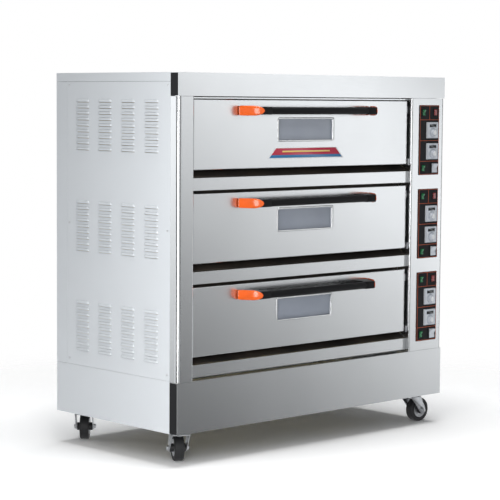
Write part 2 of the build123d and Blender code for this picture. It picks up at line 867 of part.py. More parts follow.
def rocker_profile(size):
    """Side view about the pivot at (0, 0), front towards -Y: a shallow V between two arcs."""
    r = size[1] / 2
    front, back = -0.45 * r, 0.3 * r
    z_front = math.sqrt(r * r - front * front)
    z_back = math.sqrt(r * r - back * back)
    lines = (Polyline((back, -z_back), (back, z_back))
             + ThreePointArc((back, z_back), (0, r), (front, z_front))
             + Polyline((front, z_front), (front * 0.45, 0), (front, -z_front))
             + ThreePointArc((front, -z_front), (0, -r), (back, -z_back)))
    return make_face(lines)


def rocker(x, z, size):
    side = Plane.YZ.offset(-size[0] / 2) * rocker_profile(size)
    body = extrude(side, size[0])
    return Pos(x, rocker_pivot_y(), z) * Rot(rocker_tilt, 0, 0) * body


def rocker_pivot_y():
    return -plate_thickness - rocker_lip + 1


def control_plate(deck):
    """Black plate with its cut-outs, and the housings of its switches and pilot lamp."""
    left, top = plate_point(deck, 0, 0)
    plate = block(left, left + plate_width, -plate_thickness, 0, top - plate_height, top)
    uprights = plate.edges().filter_by(Axis.Y)
    plate = fillet(uprights, plate_corner_radius)
    housings = []
    sites = [site[1:] for site in rocker_sites(deck)] + [lamp_site(deck)]
    for x, z, size in sites:
        w, h = size[0] / 2 + rocker_play + 1.5, size[1] / 2 + rocker_play + 1.5
        plate -= block(x - w, x + w, -plate_thickness - 1, 1, z - h, z + h)
        housings.append(rocker_housing(x, z, size))
    half = thermostat_body / 2 + seam / 2
    for _, x, z in thermostat_sites(deck):
        plate -= block(x - half, x + half, -plate_thickness - 1, 1, z - half, z + half)
    return [plate] + housings


def pilot_lamp(deck):
    """Red lens in its housing, domed a little at the front."""
    x, z, size = lamp_site(deck)
    y0 = -plate_thickness - rocker_lip - lamp_dome
    w, h = size[0] / 2 + rocker_play - 0.2, size[1] / 2 + rocker_play - 0.2
    lens = block(x - w, x + w, y0, rocker_housing_depth - 3 - 0.2, z - h, z + h)
    return fillet(lens.faces().sort_by(Axis.Y)[0].edges(), lamp_dome * 0.9)


def thermostat(x, z):
    """Square panel instrument with a sunk display and a bore for the knob's shaft."""
    half = thermostat_size / 2
    y0 = -plate_thickness - thermostat_bezel
    front = block(x - half, x + half, y0, -plate_thickness, z - half, z + half)
    front = fillet(front.faces().sort_by(Axis.Y)[0].edges(), 2)
    b = thermostat_body / 2
    shape = front + block(x - b, x + b, -plate_thickness, thermostat_depth, z - b, z + b)
    top = z + half - display_down
    shape -= block(x - display_width / 2, x + display_width / 2, y0 - 1, y0 + display_recess,
                   top - display_height, top)
    return shape - rod((x, y0 - 1, z - knob_below_centre), knob_shaft_radius + running_clearance,
                       knob_shaft_length + 2, (0, 1, 0))


def knob(x, z):
    """Ribbed knob with a skirt, a pointer notch and its shaft."""
    y0 = -plate_thickness - thermostat_bezel - knob_gap
    centre = (x, y0, z - knob_below_centre)
    skirt = rod(centre, knob_skirt_diameter / 2, knob_skirt_depth, (0, -1, 0))
    grip = rod(centre, knob_diameter / 2, knob_depth, (0, -1, 0))
    face = y0 - knob_depth
    for rib in range(knob_ribs):
        turn = math.radians(360 / knob_ribs * (rib + 0.5))
        reach = knob_diameter / 2 + 0.9
        notch = (x + reach * math.cos(turn), y0 - knob_skirt_depth, centre[2] + reach * math.sin(turn))
        grip -= rod(notch, 1.8, knob_depth, (0, -1, 0))
    grip -= block(x - 0.8, x + 0.8, face - 1, face + 1.2, centre[2] + 3, centre[2] + knob_diameter)
    shaft = rod(centre, knob_shaft_radius, knob_shaft_length, (0, 1, 0))
    return skirt + grip + shaft


def controls():
    plates, thermostats, lamps = [], [], []
    for deck in range(1, deck_count + 1):
        plates += control_plate(deck)
        lamps += [pilot_lamp(deck), chamber_lamp(deck)]
        for number, x, z in thermostat_sites(deck):
            thermostats.append(thermostat(x, z))
            write(f"knob_{deck}_{number}", knob(x, z))
        for name, x, z, size in rocker_sites(deck):
            write(f"rocker_{deck}_{name}", rocker(x, z, size))
    write("control_plates", *plates)
    write("thermostats", *thermostats)
    write("lamps", *lamps)


# Service bay, behind the control column

def gland_x():
    return x_right - column_width / 2


def gland_z():
    return z_base + gland_height


def switchgear():
    """Contactors and terminals on rails, and the cable gland through the back panel."""
    pieces = []
    w, d, h = contactor_size
    y1 = body_depth - sheet - frame_tube - 20
    x_mid = gland_x() + 10
    z0 = z_base + contactor_height
    for level in range(deck_count):
        z = z0 + level * deck_pitch * 0.5
        for column in (-1, 0, 1):
            x = x_mid + column * contactor_pitch
            body = block(x - w / 2, x + w / 2, y1 - d, y1, z, z + h)
            pieces.append(fillet(body.faces().sort_by(Axis.Y)[0].edges(), 3))
        rail = z + h / 2
        pieces.append(block(x_mid - 90, x_mid + 90, y1, y1 + din_rail_depth,
                            rail - din_rail_width / 2, rail + din_rail_width / 2))
    tw, td, th = terminal_size
    z = z0 - 90
    for number in range(terminal_count):
        x = x_mid + (number - (terminal_count - 1) / 2) * (tw + 1)
        pieces.append(block(x - tw / 2, x + tw / 2, y1 - td, y1, z, z + th))
    gland = rod((gland_x(), body_depth - sheet - gland_inside, gland_z()), gland_radius,
                gland_inside + sheet + gland_reach, (0, 1, 0))
    gland += rod((gland_x(), body_depth, gland_z()), gland_flange_radius,
                 gland_flange_thickness, (0, 1, 0))
    gland -= rod((gland_x(), body_depth - 60, gland_z()), gland_bore_radius, 120, (0, 1, 0))
    return pieces + [gland]


def main():
    os.makedirs("parts", exist_ok=True)
    decks = range(1, deck_count + 1)
    holes = screw_holes("x") + screw_holes("y")
    tubes = base_bars() + [tube - holes for tube in frame_bars()]
    write("welded_frame", *tubes, *[caster_mount(name) for name in caster_names])
    casters()
    write("left_side_panel", side_panel(x_left))
    write("right_side_panel", side_panel(x_right - sheet))
    write("back_panel", back_panel())
    write("top_panel", top_panel())
    write("side_skirts", side_skirt(x_left), side_skirt(x_right - sheet), back_skirt())
    write("top_fascia", top_fascia())
    write("front_skirt", front_skirt())
    write("end_caps", *end_caps())
    write("left_post", left_post())
    write("control_column", control_column())
    write("front_rails", *front_rails())
    doors()
    write("door_brackets", *door_brackets())
    write("chamber_liners", *[chamber_liner(deck) for deck in decks])
    write("chamber_insulation", *[insulation(deck) for deck in decks])
    write("hearth_plates", *[hearth(deck) for deck in decks])
    write("heating_elements", *[element(deck, y, z) for deck in decks
                                for y, z in element_rows(deck)])
    controls()
    write("switchgear", *switchgear())
    write("fasteners", *screws())


main()
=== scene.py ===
import json
import math

import bmesh
import bpy
from mathutils import Matrix, Vector


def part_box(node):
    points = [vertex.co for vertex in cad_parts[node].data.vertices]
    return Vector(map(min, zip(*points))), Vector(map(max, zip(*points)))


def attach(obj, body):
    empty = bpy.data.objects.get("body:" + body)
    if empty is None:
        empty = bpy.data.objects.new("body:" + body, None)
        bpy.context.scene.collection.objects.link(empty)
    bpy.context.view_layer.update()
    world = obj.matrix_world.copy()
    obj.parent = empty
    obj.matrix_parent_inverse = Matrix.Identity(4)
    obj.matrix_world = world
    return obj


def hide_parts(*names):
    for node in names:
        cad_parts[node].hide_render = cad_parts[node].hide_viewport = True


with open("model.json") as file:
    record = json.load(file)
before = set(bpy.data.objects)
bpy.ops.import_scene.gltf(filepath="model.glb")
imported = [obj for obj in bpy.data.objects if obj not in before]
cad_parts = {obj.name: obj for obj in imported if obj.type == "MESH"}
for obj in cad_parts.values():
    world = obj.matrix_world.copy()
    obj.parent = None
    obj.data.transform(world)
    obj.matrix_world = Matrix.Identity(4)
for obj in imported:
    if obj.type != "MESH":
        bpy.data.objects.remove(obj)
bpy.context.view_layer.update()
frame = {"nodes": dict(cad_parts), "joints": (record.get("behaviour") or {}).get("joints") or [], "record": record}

scene = bpy.context.scene
decks = (1, 2, 3)
knobNumbers = (1, 2)
switchKinds = ("upper", "lower", "main")
casterNames = ("front_left", "front_right", "back_left", "back_right")
weldDistance = 1e-6   # metres; closer vertices are merged
print("frame loaded:", len(frame["nodes"]), "CAD nodes")


# camera and light

cameraSetup = {
    "place": (-5.4001, -5.6467, 1.4759),
    "yaw": 43.39, "pitch": -4.83, "roll": 0.43,   # degrees
    "lens": 127.39, "sensor": 36,   # millimetres
    "clip": (0.1, 60),
}
lightSetup = {
    "sideBox": {"place": (-1.75, -1.15, 1.1), "aim": (-0.8, -0.2, 0.85), "size": (0.5, 1.8), "power": 18.0},
    "topBox": {"place": (0, -0.5, 8.0), "aim": (0, -0.2, 0), "size": (4.6, 4.6), "power": 500.0},
    # how bright the room is at each bearing from -Y towards +X, in degrees
    "room": ((-180, 0.2), (-152, 0.3), (-137, 1.6), (-122, 0.25), (-95, 0.12), (-60, 0.25), (-30, 0.6),
             (2, 0.6), (19, 0.12), (27, 0.02), (33, 0.2),
             (42, 0.9), (46, 1.95), (49, 1.5), (52, 0.22), (62, 0.2), (100, 0.7), (180, 0.25)),
    "roomPeak": 2.0,   # brightest value that the colour ramp can hold
    "roomTint": (0.965, 0.985, 1.0),
    "bearingPerElevation": 1.2,   # the bright side starts later further down
    "elevations": (-0.26, 0.05),   # the bearing stops shifting past these
    "ceiling": 0.10, "ceilingFade": (0.25, 0.8),
}
floorSetup = {"radius": 2.9, "sides": 96, "colour": 1.12, "fade": (0.38, 0.97)}   # fade: parts of the radius


def makeCamera():
    data = bpy.data.cameras.new("studioCamera")
    data.lens, data.sensor_width = cameraSetup["lens"], cameraSetup["sensor"]
    data.clip_start, data.clip_end = cameraSetup["clip"]
    camera = bpy.data.objects.new("studioCamera", data)
    scene.collection.objects.link(camera)
    yaw, pitch, roll = (math.radians(cameraSetup[key]) for key in ("yaw", "pitch", "roll"))
    turn = (Matrix.Rotation(-yaw, 4, "Z") @ Matrix.Rotation(math.pi / 2 + pitch, 4, "X")
            @ Matrix.Rotation(roll, 4, "Z"))
    camera.matrix_world = Matrix.Translation(cameraSetup["place"]) @ turn
    scene.camera = camera


def mathNode(tree, operation, first, second=None):
    made = tree.nodes.new("ShaderNodeMath")
    made.operation = operation
    for socket, value in zip(made.inputs, (first, second)):
        if isinstance(value, (int, float)):
            socket.default_value = value
        elif value is not None:
            tree.links.new(value, socket)
    return made.outputs[0]


def remap(tree, value, toLow=0.0, toHigh=1.0, fromLow=0.0, fromHigh=1.0, smooth=False):
    made = tree.nodes.new("ShaderNodeMapRange")
    if smooth:
        made.interpolation_type = "SMOOTHSTEP"
    limits = {"From Min": fromLow, "From Max": fromHigh, "To Min": toLow, "To Max": toHigh}
    for key, limit in limits.items():
        made.inputs[key].default_value = limit
    tree.links.new(value, made.inputs["Value"])
    return made.outputs["Result"]


def mixShaders(tree, factor, first, second):
    mix = tree.nodes.new("ShaderNodeMixShader")
    for socket, value in zip(mix.inputs, (factor, first, second)):
        tree.links.new(value, socket)
    return mix.outputs[0]


def objectPlace(tree):
    return tree.nodes.new("ShaderNodeTexCoord").outputs["Object"]


def makeWorld():
    # the metal mirrors a room whose brightness changes round the compass; the camera sees plain white
    world = bpy.data.worlds.new("studioRoom")
    scene.world = world
    world.use_nodes = True
    tree = world.node_tree
    tree.nodes.clear()
    link = tree.links.new
    split = tree.nodes.new("ShaderNodeSeparateXYZ")
    link(tree.nodes.new("ShaderNodeTexCoord").outputs["Generated"], split.inputs[0])
    across, along, up = split.outputs
    lowest, highest = lightSetup["elevations"]
    bearing = mathNode(tree, "ARCTAN2", across, mathNode(tree, "MULTIPLY", along, -1.0))
    elevation = mathNode(tree, "MAXIMUM", mathNode(tree, "MINIMUM", up, highest), lowest)
    shift = mathNode(tree, "MULTIPLY", elevation, lightSetup["bearingPerElevation"])
    turn = mathNode(tree, "DIVIDE", mathNode(tree, "ADD", bearing, shift), 2 * math.pi)
    ramp = tree.nodes.new("ShaderNodeValToRGB")
    link(mathNode(tree, "ADD", turn, 0.5), ramp.inputs[0])
    stops = ramp.color_ramp.elements
    for degrees, bright in lightSetup["room"]:
        spot = (degrees + 180) / 360
        stop = stops[0] if degrees == -180 else stops[-1] if degrees == 180 else stops.new(spot)
        stop.position = spot
        stop.color = (*[bright / lightSetup["roomPeak"]] * 3, 1)
    fadeStart, fadeEnd = lightSetup["ceilingFade"]
    level = tree.nodes.new("ShaderNodeMix")
    level.data_type = "FLOAT"
    link(remap(tree, up, fromLow=fadeStart, fromHigh=fadeEnd, smooth=True), level.inputs[0])
    link(mathNode(tree, "MULTIPLY", ramp.outputs[0], lightSetup["roomPeak"]), level.inputs[2])
    level.inputs[3].default_value = lightSetup["ceiling"]
    room = tree.nodes.new("ShaderNodeBackground")
    link(level.outputs[0], room.inputs["Strength"])
    room.inputs["Color"].default_value = (*lightSetup["roomTint"], 1)
    plain = tree.nodes.new("ShaderNodeBackground")
    plain.inputs["Color"].default_value = (1, 1, 1, 1)
    seen = tree.nodes.new("ShaderNodeLightPath").outputs["Is Camera Ray"]
    out = tree.nodes.new("ShaderNodeOutputWorld")
    link(mixShaders(tree, seen, room.outputs[0], plain.outputs[0]), out.inputs["Surface"])


def makeLight(name, place, aim, size, power):
    data = bpy.data.lights.new(name, "AREA")
    data.shape, data.size, data.size_y, data.energy = "RECTANGLE", size[0], size[1], power
    light = bpy.data.objects.new(name, data)
    light.visible_camera = False
    scene.collection.objects.link(light)
    light.location = place
    light.rotation_euler = (Vector(aim) - Vector(place)).to_track_quat("-Z", "Y").to_euler()


def makeFloor():
    # pale disc that thins out to the white background
    radius = floorSetup["radius"]
    bpy.ops.mesh.primitive_circle_add(vertices=floorSetup["sides"], radius=radius, fill_type="NGON")
    floor = bpy.context.object
    floor.name = "studioFloor"
    material = bpy.data.materials.new("studioFloorWhite")
    material.use_nodes = True
    tree = material.node_tree
    tree.nodes.clear()
    length = tree.nodes.new("ShaderNodeVectorMath")
    length.operation = "LENGTH"
    tree.links.new(objectPlace(tree), length.inputs[0])
    fadeStart, fadeEnd = (radius * part for part in floorSetup["fade"])
    fade = remap(tree, length.outputs["Value"], fromLow=fadeStart, fromHigh=fadeEnd, smooth=True)
    matte = tree.nodes.new("ShaderNodeBsdfDiffuse")
    matte.inputs["Color"].default_value = (*[floorSetup["colour"]] * 3, 1)
    clear = tree.nodes.new("ShaderNodeBsdfTransparent")
    out = tree.nodes.new("ShaderNodeOutputMaterial")
    tree.links.new(mixShaders(tree, fade, matte.outputs[0], clear.outputs[0]), out.inputs["Surface"])
    floor.data.materials.append(material)
    floor.visible_glossy = False


makeCamera()
makeWorld()
for name in ("sideBox", "topBox"):
    makeLight(name, **lightSetup[name])
makeFloor()
scene.view_settings.view_transform = "Standard"
scene.view_settings.look = "None"
print("camera, room and lights made")


# finishes

# scales are in repeats per metre, depths in metres, shades are parts of the given colour
brushing = {"strokes": 900, "strokeDetail": 3, "clouds": 2.2, "shades": (0.96, 1.03), "roughness": 0.03,
            "bump": 0.012, "depth": 0.0002}
painting = {"clouds": 1.6, "shade": 0.975, "sheen": 14, "roughness": (-0.04, 0.06), "peel": 700,
            "depth": 0.0003}
moulding = {"clouds": 30, "shade": 0.9, "grain": 1800, "depth": 0.0002}
plating = {"colour": (0.66, 0.67, 0.69), "metal": 1.0, "crystals": 160, "dark": (0.58, 0.59, 0.61),
           "light": (0.74, 0.75, 0.77), "stains": 60, "roughness": (0.22, 0.42)}
browning = {"metal": 0.85, "patches": 5, "patchDetail": 8, "dark": 0.6, "light": (1.5, 1.3, 1.1),
            "stains": 25, "roughness": (0.4, 0.65), "scale": 200, "bump": 0.1, "depth": 0.0005}
glazing = {"colour": (0.36, 0.40, 0.46), "clear": 0.3, "refraction": 1.5, "clouds": 6,
           "dark": (0.40, 0.44, 0.52), "light": (0.46, 0.50, 0.58), "smears": 18, "roughness": (0.03, 0.08)}


def newMaterial(name, colour, roughness, metallic=0.0, **extra):
    material = bpy.data.materials.new(name)
    material.use_nodes = True
    shader = material.node_tree.nodes["Principled BSDF"]
    shader.inputs["Base Color"].default_value = (*colour, 1)
    shader.inputs["Roughness"].default_value = roughness
    shader.inputs["Metallic"].default_value = metallic
    for key, value in extra.items():
        shader.inputs[key.replace("_", " ")].default_value = value
    return material, material.node_tree, shader


def noiseOn(tree, scale, stretch=(1, 1, 1), detail=4.0):
    # noise drawn out along the axes where stretch is small
    mapping = tree.nodes.new("ShaderNodeMapping")
    mapping.inputs["Scale"].default_value = stretch
    noise = tree.nodes.new("ShaderNodeTexNoise")
    noise.inputs["Scale"].default_value = scale
    noise.inputs["Detail"].default_value = detail
    tree.links.new(objectPlace(tree), mapping.inputs["Vector"])
    tree.links.new(mapping.outputs[0], noise.inputs["Vector"])
    return noise.outputs["Fac"]


def shaded(colour, *factors):
    # each channel times its factor, or times the one factor for all, never past full brightness
    factors = factors * 3 if len(factors) == 1 else factors
    return tuple(min(1, channel * factor) for channel, factor in zip(colour, factors))


def tint(tree, shader, value, dark, light):
    # base colour that wanders between two shades
    ramp = tree.nodes.new("ShaderNodeValToRGB")
    for stop, colour, spot in zip(ramp.color_ramp.elements, (dark, light), (0.3, 0.7)):
        stop.color = (*colour, 1)
        stop.position = spot
    tree.links.new(value, ramp.inputs[0])
    tree.links.new(ramp.outputs[0], shader.inputs["Base Color"])


def varyRoughness(tree, shader, value, low, high):
    tree.links.new(remap(tree, value, low, high), shader.inputs["Roughness"])


def bump(tree, shader, height, strength, distance):
    made = tree.nodes.new("ShaderNodeBump")
    made.inputs["Strength"].default_value = strength
    made.inputs["Distance"].default_value = distance
    tree.links.new(height, made.inputs["Height"])
    tree.links.new(made.outputs[0], shader.inputs["Normal"])


def brushedSteel(name, colour, roughness, grain):
    # fine strokes along the axis where grain is small
    material, tree, shader = newMaterial(name, colour, roughness, 1.0)
    strokes = noiseOn(tree, brushing["strokes"], grain, brushing["strokeDetail"])
    dark, light = (shaded(colour, factor) for factor in brushing["shades"])
    tint(tree, shader, noiseOn(tree, brushing["clouds"]), dark, light)
    varyRoughness(tree, shader, strokes, roughness - brushing["roughness"], roughness + brushing["roughness"])
    bump(tree, shader, strokes, brushing["bump"], brushing["depth"])
    return material


def paintedSteel(name, colour, roughness, peel):
    material, tree, shader = newMaterial(name, colour, roughness)
    tint(tree, shader, noiseOn(tree, painting["clouds"]), shaded(colour, painting["shade"]), colour)
    smoother, rougher = painting["roughness"]
    varyRoughness(tree, shader, noiseOn(tree, painting["sheen"]), roughness + smoother, roughness + rougher)
    bump(tree, shader, noiseOn(tree, painting["peel"]), peel, painting["depth"])
    return material


def mouldedPlastic(name, colour, roughness, grainStrength=0.08, **extra):
    material, tree, shader = newMaterial(name, colour, roughness, **extra)
    tint(tree, shader, noiseOn(tree, moulding["clouds"]), shaded(colour, moulding["shade"]), colour)
    bump(tree, shader, noiseOn(tree, moulding["grain"]), grainStrength, moulding["depth"])
    return material


def zincPlate(name):
    material, tree, shader = newMaterial(name, plating["colour"], 0.3, plating["metal"])
    crystals = tree.nodes.new("ShaderNodeTexVoronoi")
    crystals.inputs["Scale"].default_value = plating["crystals"]
    tree.links.new(objectPlace(tree), crystals.inputs["Vector"])
    tint(tree, shader, crystals.outputs["Distance"], plating["dark"], plating["light"])
    varyRoughness(tree, shader, noiseOn(tree, plating["stains"]), *plating["roughness"])
    return material


def heatedSteel(name, colour):
    # oven lining, browned in patches by heat
    material, tree, shader = newMaterial(name, colour, 0.5, browning["metal"])
    patches = noiseOn(tree, browning["patches"], detail=browning["patchDetail"])
    tint(tree, shader, patches, shaded(colour, browning["dark"]), shaded(colour, *browning["light"]))
    varyRoughness(tree, shader, noiseOn(tree, browning["stains"]), *browning["roughness"])
    bump(tree, shader, noiseOn(tree, browning["scale"]), browning["bump"], browning["depth"])
    return material


def windowGlass(name):
    material, tree, shader = newMaterial(name, glazing["colour"], 0.05)
    shader.inputs["Transmission Weight"].default_value = glazing["clear"]
    shader.inputs["IOR"].default_value = glazing["refraction"]
    tint(tree, shader, noiseOn(tree, glazing["clouds"]), glazing["dark"], glazing["light"])
    varyRoughness(tree, shader, noiseOn(tree, glazing["smears"]), *glazing["roughness"])
    return material


alongX, noGrain = (0.02, 1, 1), (1, 1, 1)
finishes = {
    "brushed_stainless": brushedSteel("brushedStainless", (0.82, 0.83, 0.84), 0.21, alongX),
    "plain_stainless": brushedSteel("millStainless", (0.66, 0.66, 0.66), 0.36, alongX),
    "panel_paint": paintedSteel("palePanelPaint", (0.72, 0.75, 0.78), 0.38, 0.10),
    "frame_paint": paintedSteel("greyFramePrimer", (0.20, 0.21, 0.22), 0.55, 0.2),
    "zinc_steel": zincPlate("zincPlate"),
    "black_rubber": mouldedPlastic("casterRubber", (0.022, 0.022, 0.024), 0.55, 0.25),
    "black_handle": mouldedPlastic("gripBlack", (0.007, 0.007, 0.008), 0.42, Specular_IOR_Level=0.2),
    "orange_plastic": mouldedPlastic("capOrange", (0.90, 0.13, 0.012), 0.22, 0.03, Coat_Weight=0.5),
    "black_trim": mouldedPlastic("trimBlack", (0.016, 0.016, 0.018), 0.5, Specular_IOR_Level=0.22),
    "window_glass": windowGlass("doorGlass"),
    "chamber_steel": heatedSteel("chamberSteel", (0.085, 0.08, 0.075)),
    "hearth_iron": heatedSteel("hearthIron", (0.10, 0.095, 0.09)),
    "element_steel": heatedSteel("elementSheath", (0.28, 0.24, 0.21)),
    "mineral_wool": mouldedPlastic("mineralWool", (0.72, 0.62, 0.36), 0.95, 0.9),
    "instrument_plastic": mouldedPlastic("instrumentPale", (0.72, 0.75, 0.79), 0.3),
    "knob_plastic": mouldedPlastic("knobPale", (0.66, 0.69, 0.74), 0.25),
    "green_rocker": mouldedPlastic("rockerGreen", (0.008, 0.17, 0.055), 0.2, 0.03, Coat_Weight=0.4),
    "white_rocker": mouldedPlastic("rockerWhite", (0.74, 0.78, 0.84), 0.22, 0.03, Coat_Weight=0.4),
    "lamp_glass": mouldedPlastic("pilotRed", (0.26, 0.016, 0.016), 0.15, 0.03, Coat_Weight=0.6),
    "gear_plastic": mouldedPlastic("gearGrey", (0.42, 0.42, 0.40), 0.45),
}
slotOf = {entry["node"]: entry["material_slot"] for entry in frame["record"]["subparts"]}
for name, cadNode in frame["nodes"].items():
    cadNode.data.materials.clear()
    cadNode.data.materials.append(finishes[slotOf[name]])
print("finishes on", len(slotOf), "nodes")


# helpers for new pieces

edgeSizes = {"angle": 28.0, "segments": 3, "flat": 0.5, "sharp": 40}   # angles in degrees


def addPiece(name, mesh, slot, body, material=None, replaced=()):
    # link a finished mesh, give it its finish and let it ride on a CAD body
    piece = bpy.data.objects.new(name, mesh)
    scene.collection.objects.link(piece)
    if material or not piece.data.materials:
        piece.data.materials.clear()
        piece.data.materials.append(material or finishes[slot])
    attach(piece, body)
    if replaced:
        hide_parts(*replaced)


def meshFrom(name, build):
    mesh = bpy.data.meshes.new(name)
    bm = bmesh.new()
    build(bm)
    bmesh.ops.remove_doubles(bm, verts=bm.verts, dist=weldDistance)
    bmesh.ops.recalc_face_normals(bm, faces=bm.faces)
    bm.to_mesh(mesh)
    bm.free()
    return mesh


def evaluatedMesh(piece, name):
    # plain mesh of an object with its modifiers applied
    graph = bpy.context.evaluated_depsgraph_get()
    mesh = bpy.data.meshes.new_from_object(piece.evaluated_get(graph), depsgraph=graph)
    mesh.name = name
    return mesh


def smoothed(mesh, angle=edgeSizes["sharp"]):
    for face in mesh.polygons:
        face.use_smooth = True
    mesh.set_sharp_from_angle(angle=math.radians(angle))
    return mesh


def softened(nodeName, pieceName, width, body):
    # copy of a CAD node with its sharp edges rounded off, which stands for the node
    mesh = frame["nodes"][nodeName].data.copy()
    bm = bmesh.new()
    bm.from_mesh(mesh)
    bmesh.ops.remove_doubles(bm, verts=bm.verts, dist=weldDistance)
    bmesh.ops.dissolve_limit(bm, angle_limit=math.radians(edgeSizes["flat"]), verts=bm.verts, edges=bm.edges)
    bm.to_mesh(mesh)
    bm.free()
    draft = bpy.data.objects.new(pieceName + "Draft", mesh)
    scene.collection.objects.link(draft)
    bevel = draft.modifiers.new("roundEdges", "BEVEL")
    bevel.width, bevel.segments = width, edgeSizes["segments"]
    bevel.limit_method, bevel.angle_limit = "ANGLE", math.radians(edgeSizes["angle"])
    finished = evaluatedMesh(draft, pieceName)
    bpy.data.objects.remove(draft)
    addPiece(pieceName, smoothed(finished), slotOf[nodeName], body, replaced=(nodeName,))


def solidsOf(nodeName):
    # vertex places of each separate solid of a CAD node
    bm = bmesh.new()
    bm.from_mesh(frame["nodes"][nodeName].data)
    bmesh.ops.remove_doubles(bm, verts=bm.verts, dist=weldDistance)
    solids, seen = [], set()
    for vert in bm.verts:
        if vert in seen:
            continue
        solid, queue = [], [vert]
        seen.add(vert)
        while queue:
            here = queue.pop()
            solid.append(here.co.copy())
            for edge in here.link_edges:
                other = edge.other_vert(here)
                if other not in seen:
                    seen.add(other)
                    queue.append(other)
        solids.append(solid)
    bm.free()
    return solids


def boxOf(spots):
    return (Vector([min(spot[k] for spot in spots) for k in range(3)]),
            Vector([max(spot[k] for spot in spots) for k in range(3)]))


def addBox(bm, low, high, bevel=0.0):
    # box between two corners, with its edges rounded when bevel is given
    made = bmesh.ops.create_cube(bm, size=1)
    centre, size = (Vector(low) + Vector(high)) / 2, Vector(high) - Vector(low)
    for vert in made["verts"]:
        vert.co = Vector([vert.co[i] * size[i] + centre[i] for i in range(3)])
    if bevel:
        edges = list({edge for vert in made["verts"] for edge in vert.link_edges})
        bmesh.ops.bevel(bm, geom=edges, offset=bevel, segments=3, profile=0.5, affect="EDGES")


def addSkin(bm, rows, caps=True):
    # skin over closed rings with equal numbers of points
    rings = [[bm.verts.new(point) for point in row] for row in rows]
    count = len(rings[0])
    for first, second in zip(rings, rings[1:]):
        for k in range(count):
            nextOne = (k + 1) % count
            bm.faces.new((first[k], first[nextOne], second[nextOne], second[k]))
    if caps:
        bm.faces.new(rings[0][::-1])
        bm.faces.new(rings[-1])


def addRing(bm, centre, size, corner, section, steps=6):
    # frame round a rectangle in the XZ plane; section lists (outward, y) points in order
    path = []
    for quarter, (sx, sz) in enumerate(((1, 1), (-1, 1), (-1, -1), (1, -1))):
        for step in range(steps + 1):
            angle = math.radians(90 * quarter + 90 * step / steps)
            hub = (sx * (size[0] / 2 - corner), sz * (size[1] / 2 - corner))
            path.append((hub, (math.cos(angle), math.sin(angle))))
    rows = []
    for hub, way in path + path[:1]:
        rows.append([(centre[0] + hub[0] + way[0] * (corner + out), centre[1] + y,
                      centre[2] + hub[1] + way[1] * (corner + out)) for out, y in section])
    addSkin(bm, rows, caps=False)


def addTurned(bm, centre, axis, profile, steps=40):
    # solid of revolution; profile lists (along, radius) from one end to the other
    turn = Vector((0, 0, 1)).rotation_difference(Vector(axis))
    angles = [2 * math.pi * k / steps for k in range(steps)]
    addSkin(bm, [[Vector(centre) + turn @ Vector((radius * math.cos(a), radius * math.sin(a), along))
                  for a in angles] for along, radius in profile])


# repeated pieces, made with geometry nodes

def startTree(name, inputs):
    tree = bpy.data.node_groups.new(name, "GeometryNodeTree")
    for label, kind in inputs:
        tree.interface.new_socket(label, in_out="INPUT", socket_type="NodeSocket" + kind)
    tree.interface.new_socket("Geometry", in_out="OUTPUT", socket_type="NodeSocketGeometry")
    return tree, tree.nodes.new("NodeGroupInput").outputs


def randomSpin(tree, given, axis):
    # rotation about one axis, from -Spin to +Spin
    chance = tree.nodes.new("FunctionNodeRandomValue")
    tree.links.new(mathNode(tree, "MULTIPLY", given["Spin"], -1.0), chance.inputs[2])
    tree.links.new(given["Spin"], chance.inputs[3])
    tree.links.new(given["Seed"], chance.inputs["Seed"])
    spin = tree.nodes.new("ShaderNodeCombineXYZ")
    tree.links.new(chance.outputs[1], spin.inputs[axis])
    return spin.outputs[0]


def finishTree(tree, points, rotation, given):
    link = tree.links.new
    template = tree.nodes.new("GeometryNodeObjectInfo")
    link(given["Template"], template.inputs["Object"])
    copies = tree.nodes.new("GeometryNodeInstanceOnPoints")
    link(points, copies.inputs["Points"])
    link(template.outputs["Geometry"], copies.inputs["Instance"])
    link(rotation, copies.inputs["Rotation"])
    real = tree.nodes.new("GeometryNodeRealizeInstances")
    link(copies.outputs[0], real.inputs[0])
    finish = tree.nodes.new("GeometryNodeSetMaterial")
    link(real.outputs[0], finish.inputs["Geometry"])
    link(given["Finish"], finish.inputs["Material"])
    out = tree.nodes.new("NodeGroupOutput")
    link(finish.outputs[0], out.inputs["Geometry"])
    return tree


def repeatTree():
    # template copied over a grid of columns, rows and groups of rows
    tree, given = startTree("repeatOnGrid", (
        ("Template", "Object"), ("Columns", "Int"), ("Rows", "Int"), ("Groups", "Int"), ("Start", "Vector"),
        ("Column Step", "Vector"), ("Row Step", "Vector"), ("Group Step", "Vector"), ("Spin", "Float"),
        ("Seed", "Int"), ("Finish", "Material")))
    link = tree.links.new
    index = tree.nodes.new("GeometryNodeInputIndex").outputs[0]
    points = tree.nodes.new("GeometryNodePoints")
    inGroup = mathNode(tree, "MULTIPLY", given["Columns"], given["Rows"])
    link(mathNode(tree, "MULTIPLY", inGroup, given["Groups"]), points.inputs["Count"])
    line = mathNode(tree, "FLOOR", mathNode(tree, "DIVIDE", index, given["Columns"]))
    column = mathNode(tree, "FLOORED_MODULO", index, given["Columns"])
    row = mathNode(tree, "FLOORED_MODULO", line, given["Rows"])
    group = mathNode(tree, "FLOOR", mathNode(tree, "DIVIDE", index, inGroup))
    place = given["Start"]
    for count, step in ((column, "Column Step"), (row, "Row Step"), (group, "Group Step")):
        scaled = tree.nodes.new("ShaderNodeVectorMath")
        scaled.operation = "SCALE"
        link(given[step], scaled.inputs[0])
        link(count, scaled.inputs["Scale"])
        added = tree.nodes.new("ShaderNodeVectorMath")
        link(place, added.inputs[0])
        link(scaled.outputs[0], added.inputs[1])
        place = added.outputs[0]
    link(place, points.inputs["Position"])
    return finishTree(tree, points.outputs[0], randomSpin(tree, given, "X"), given)


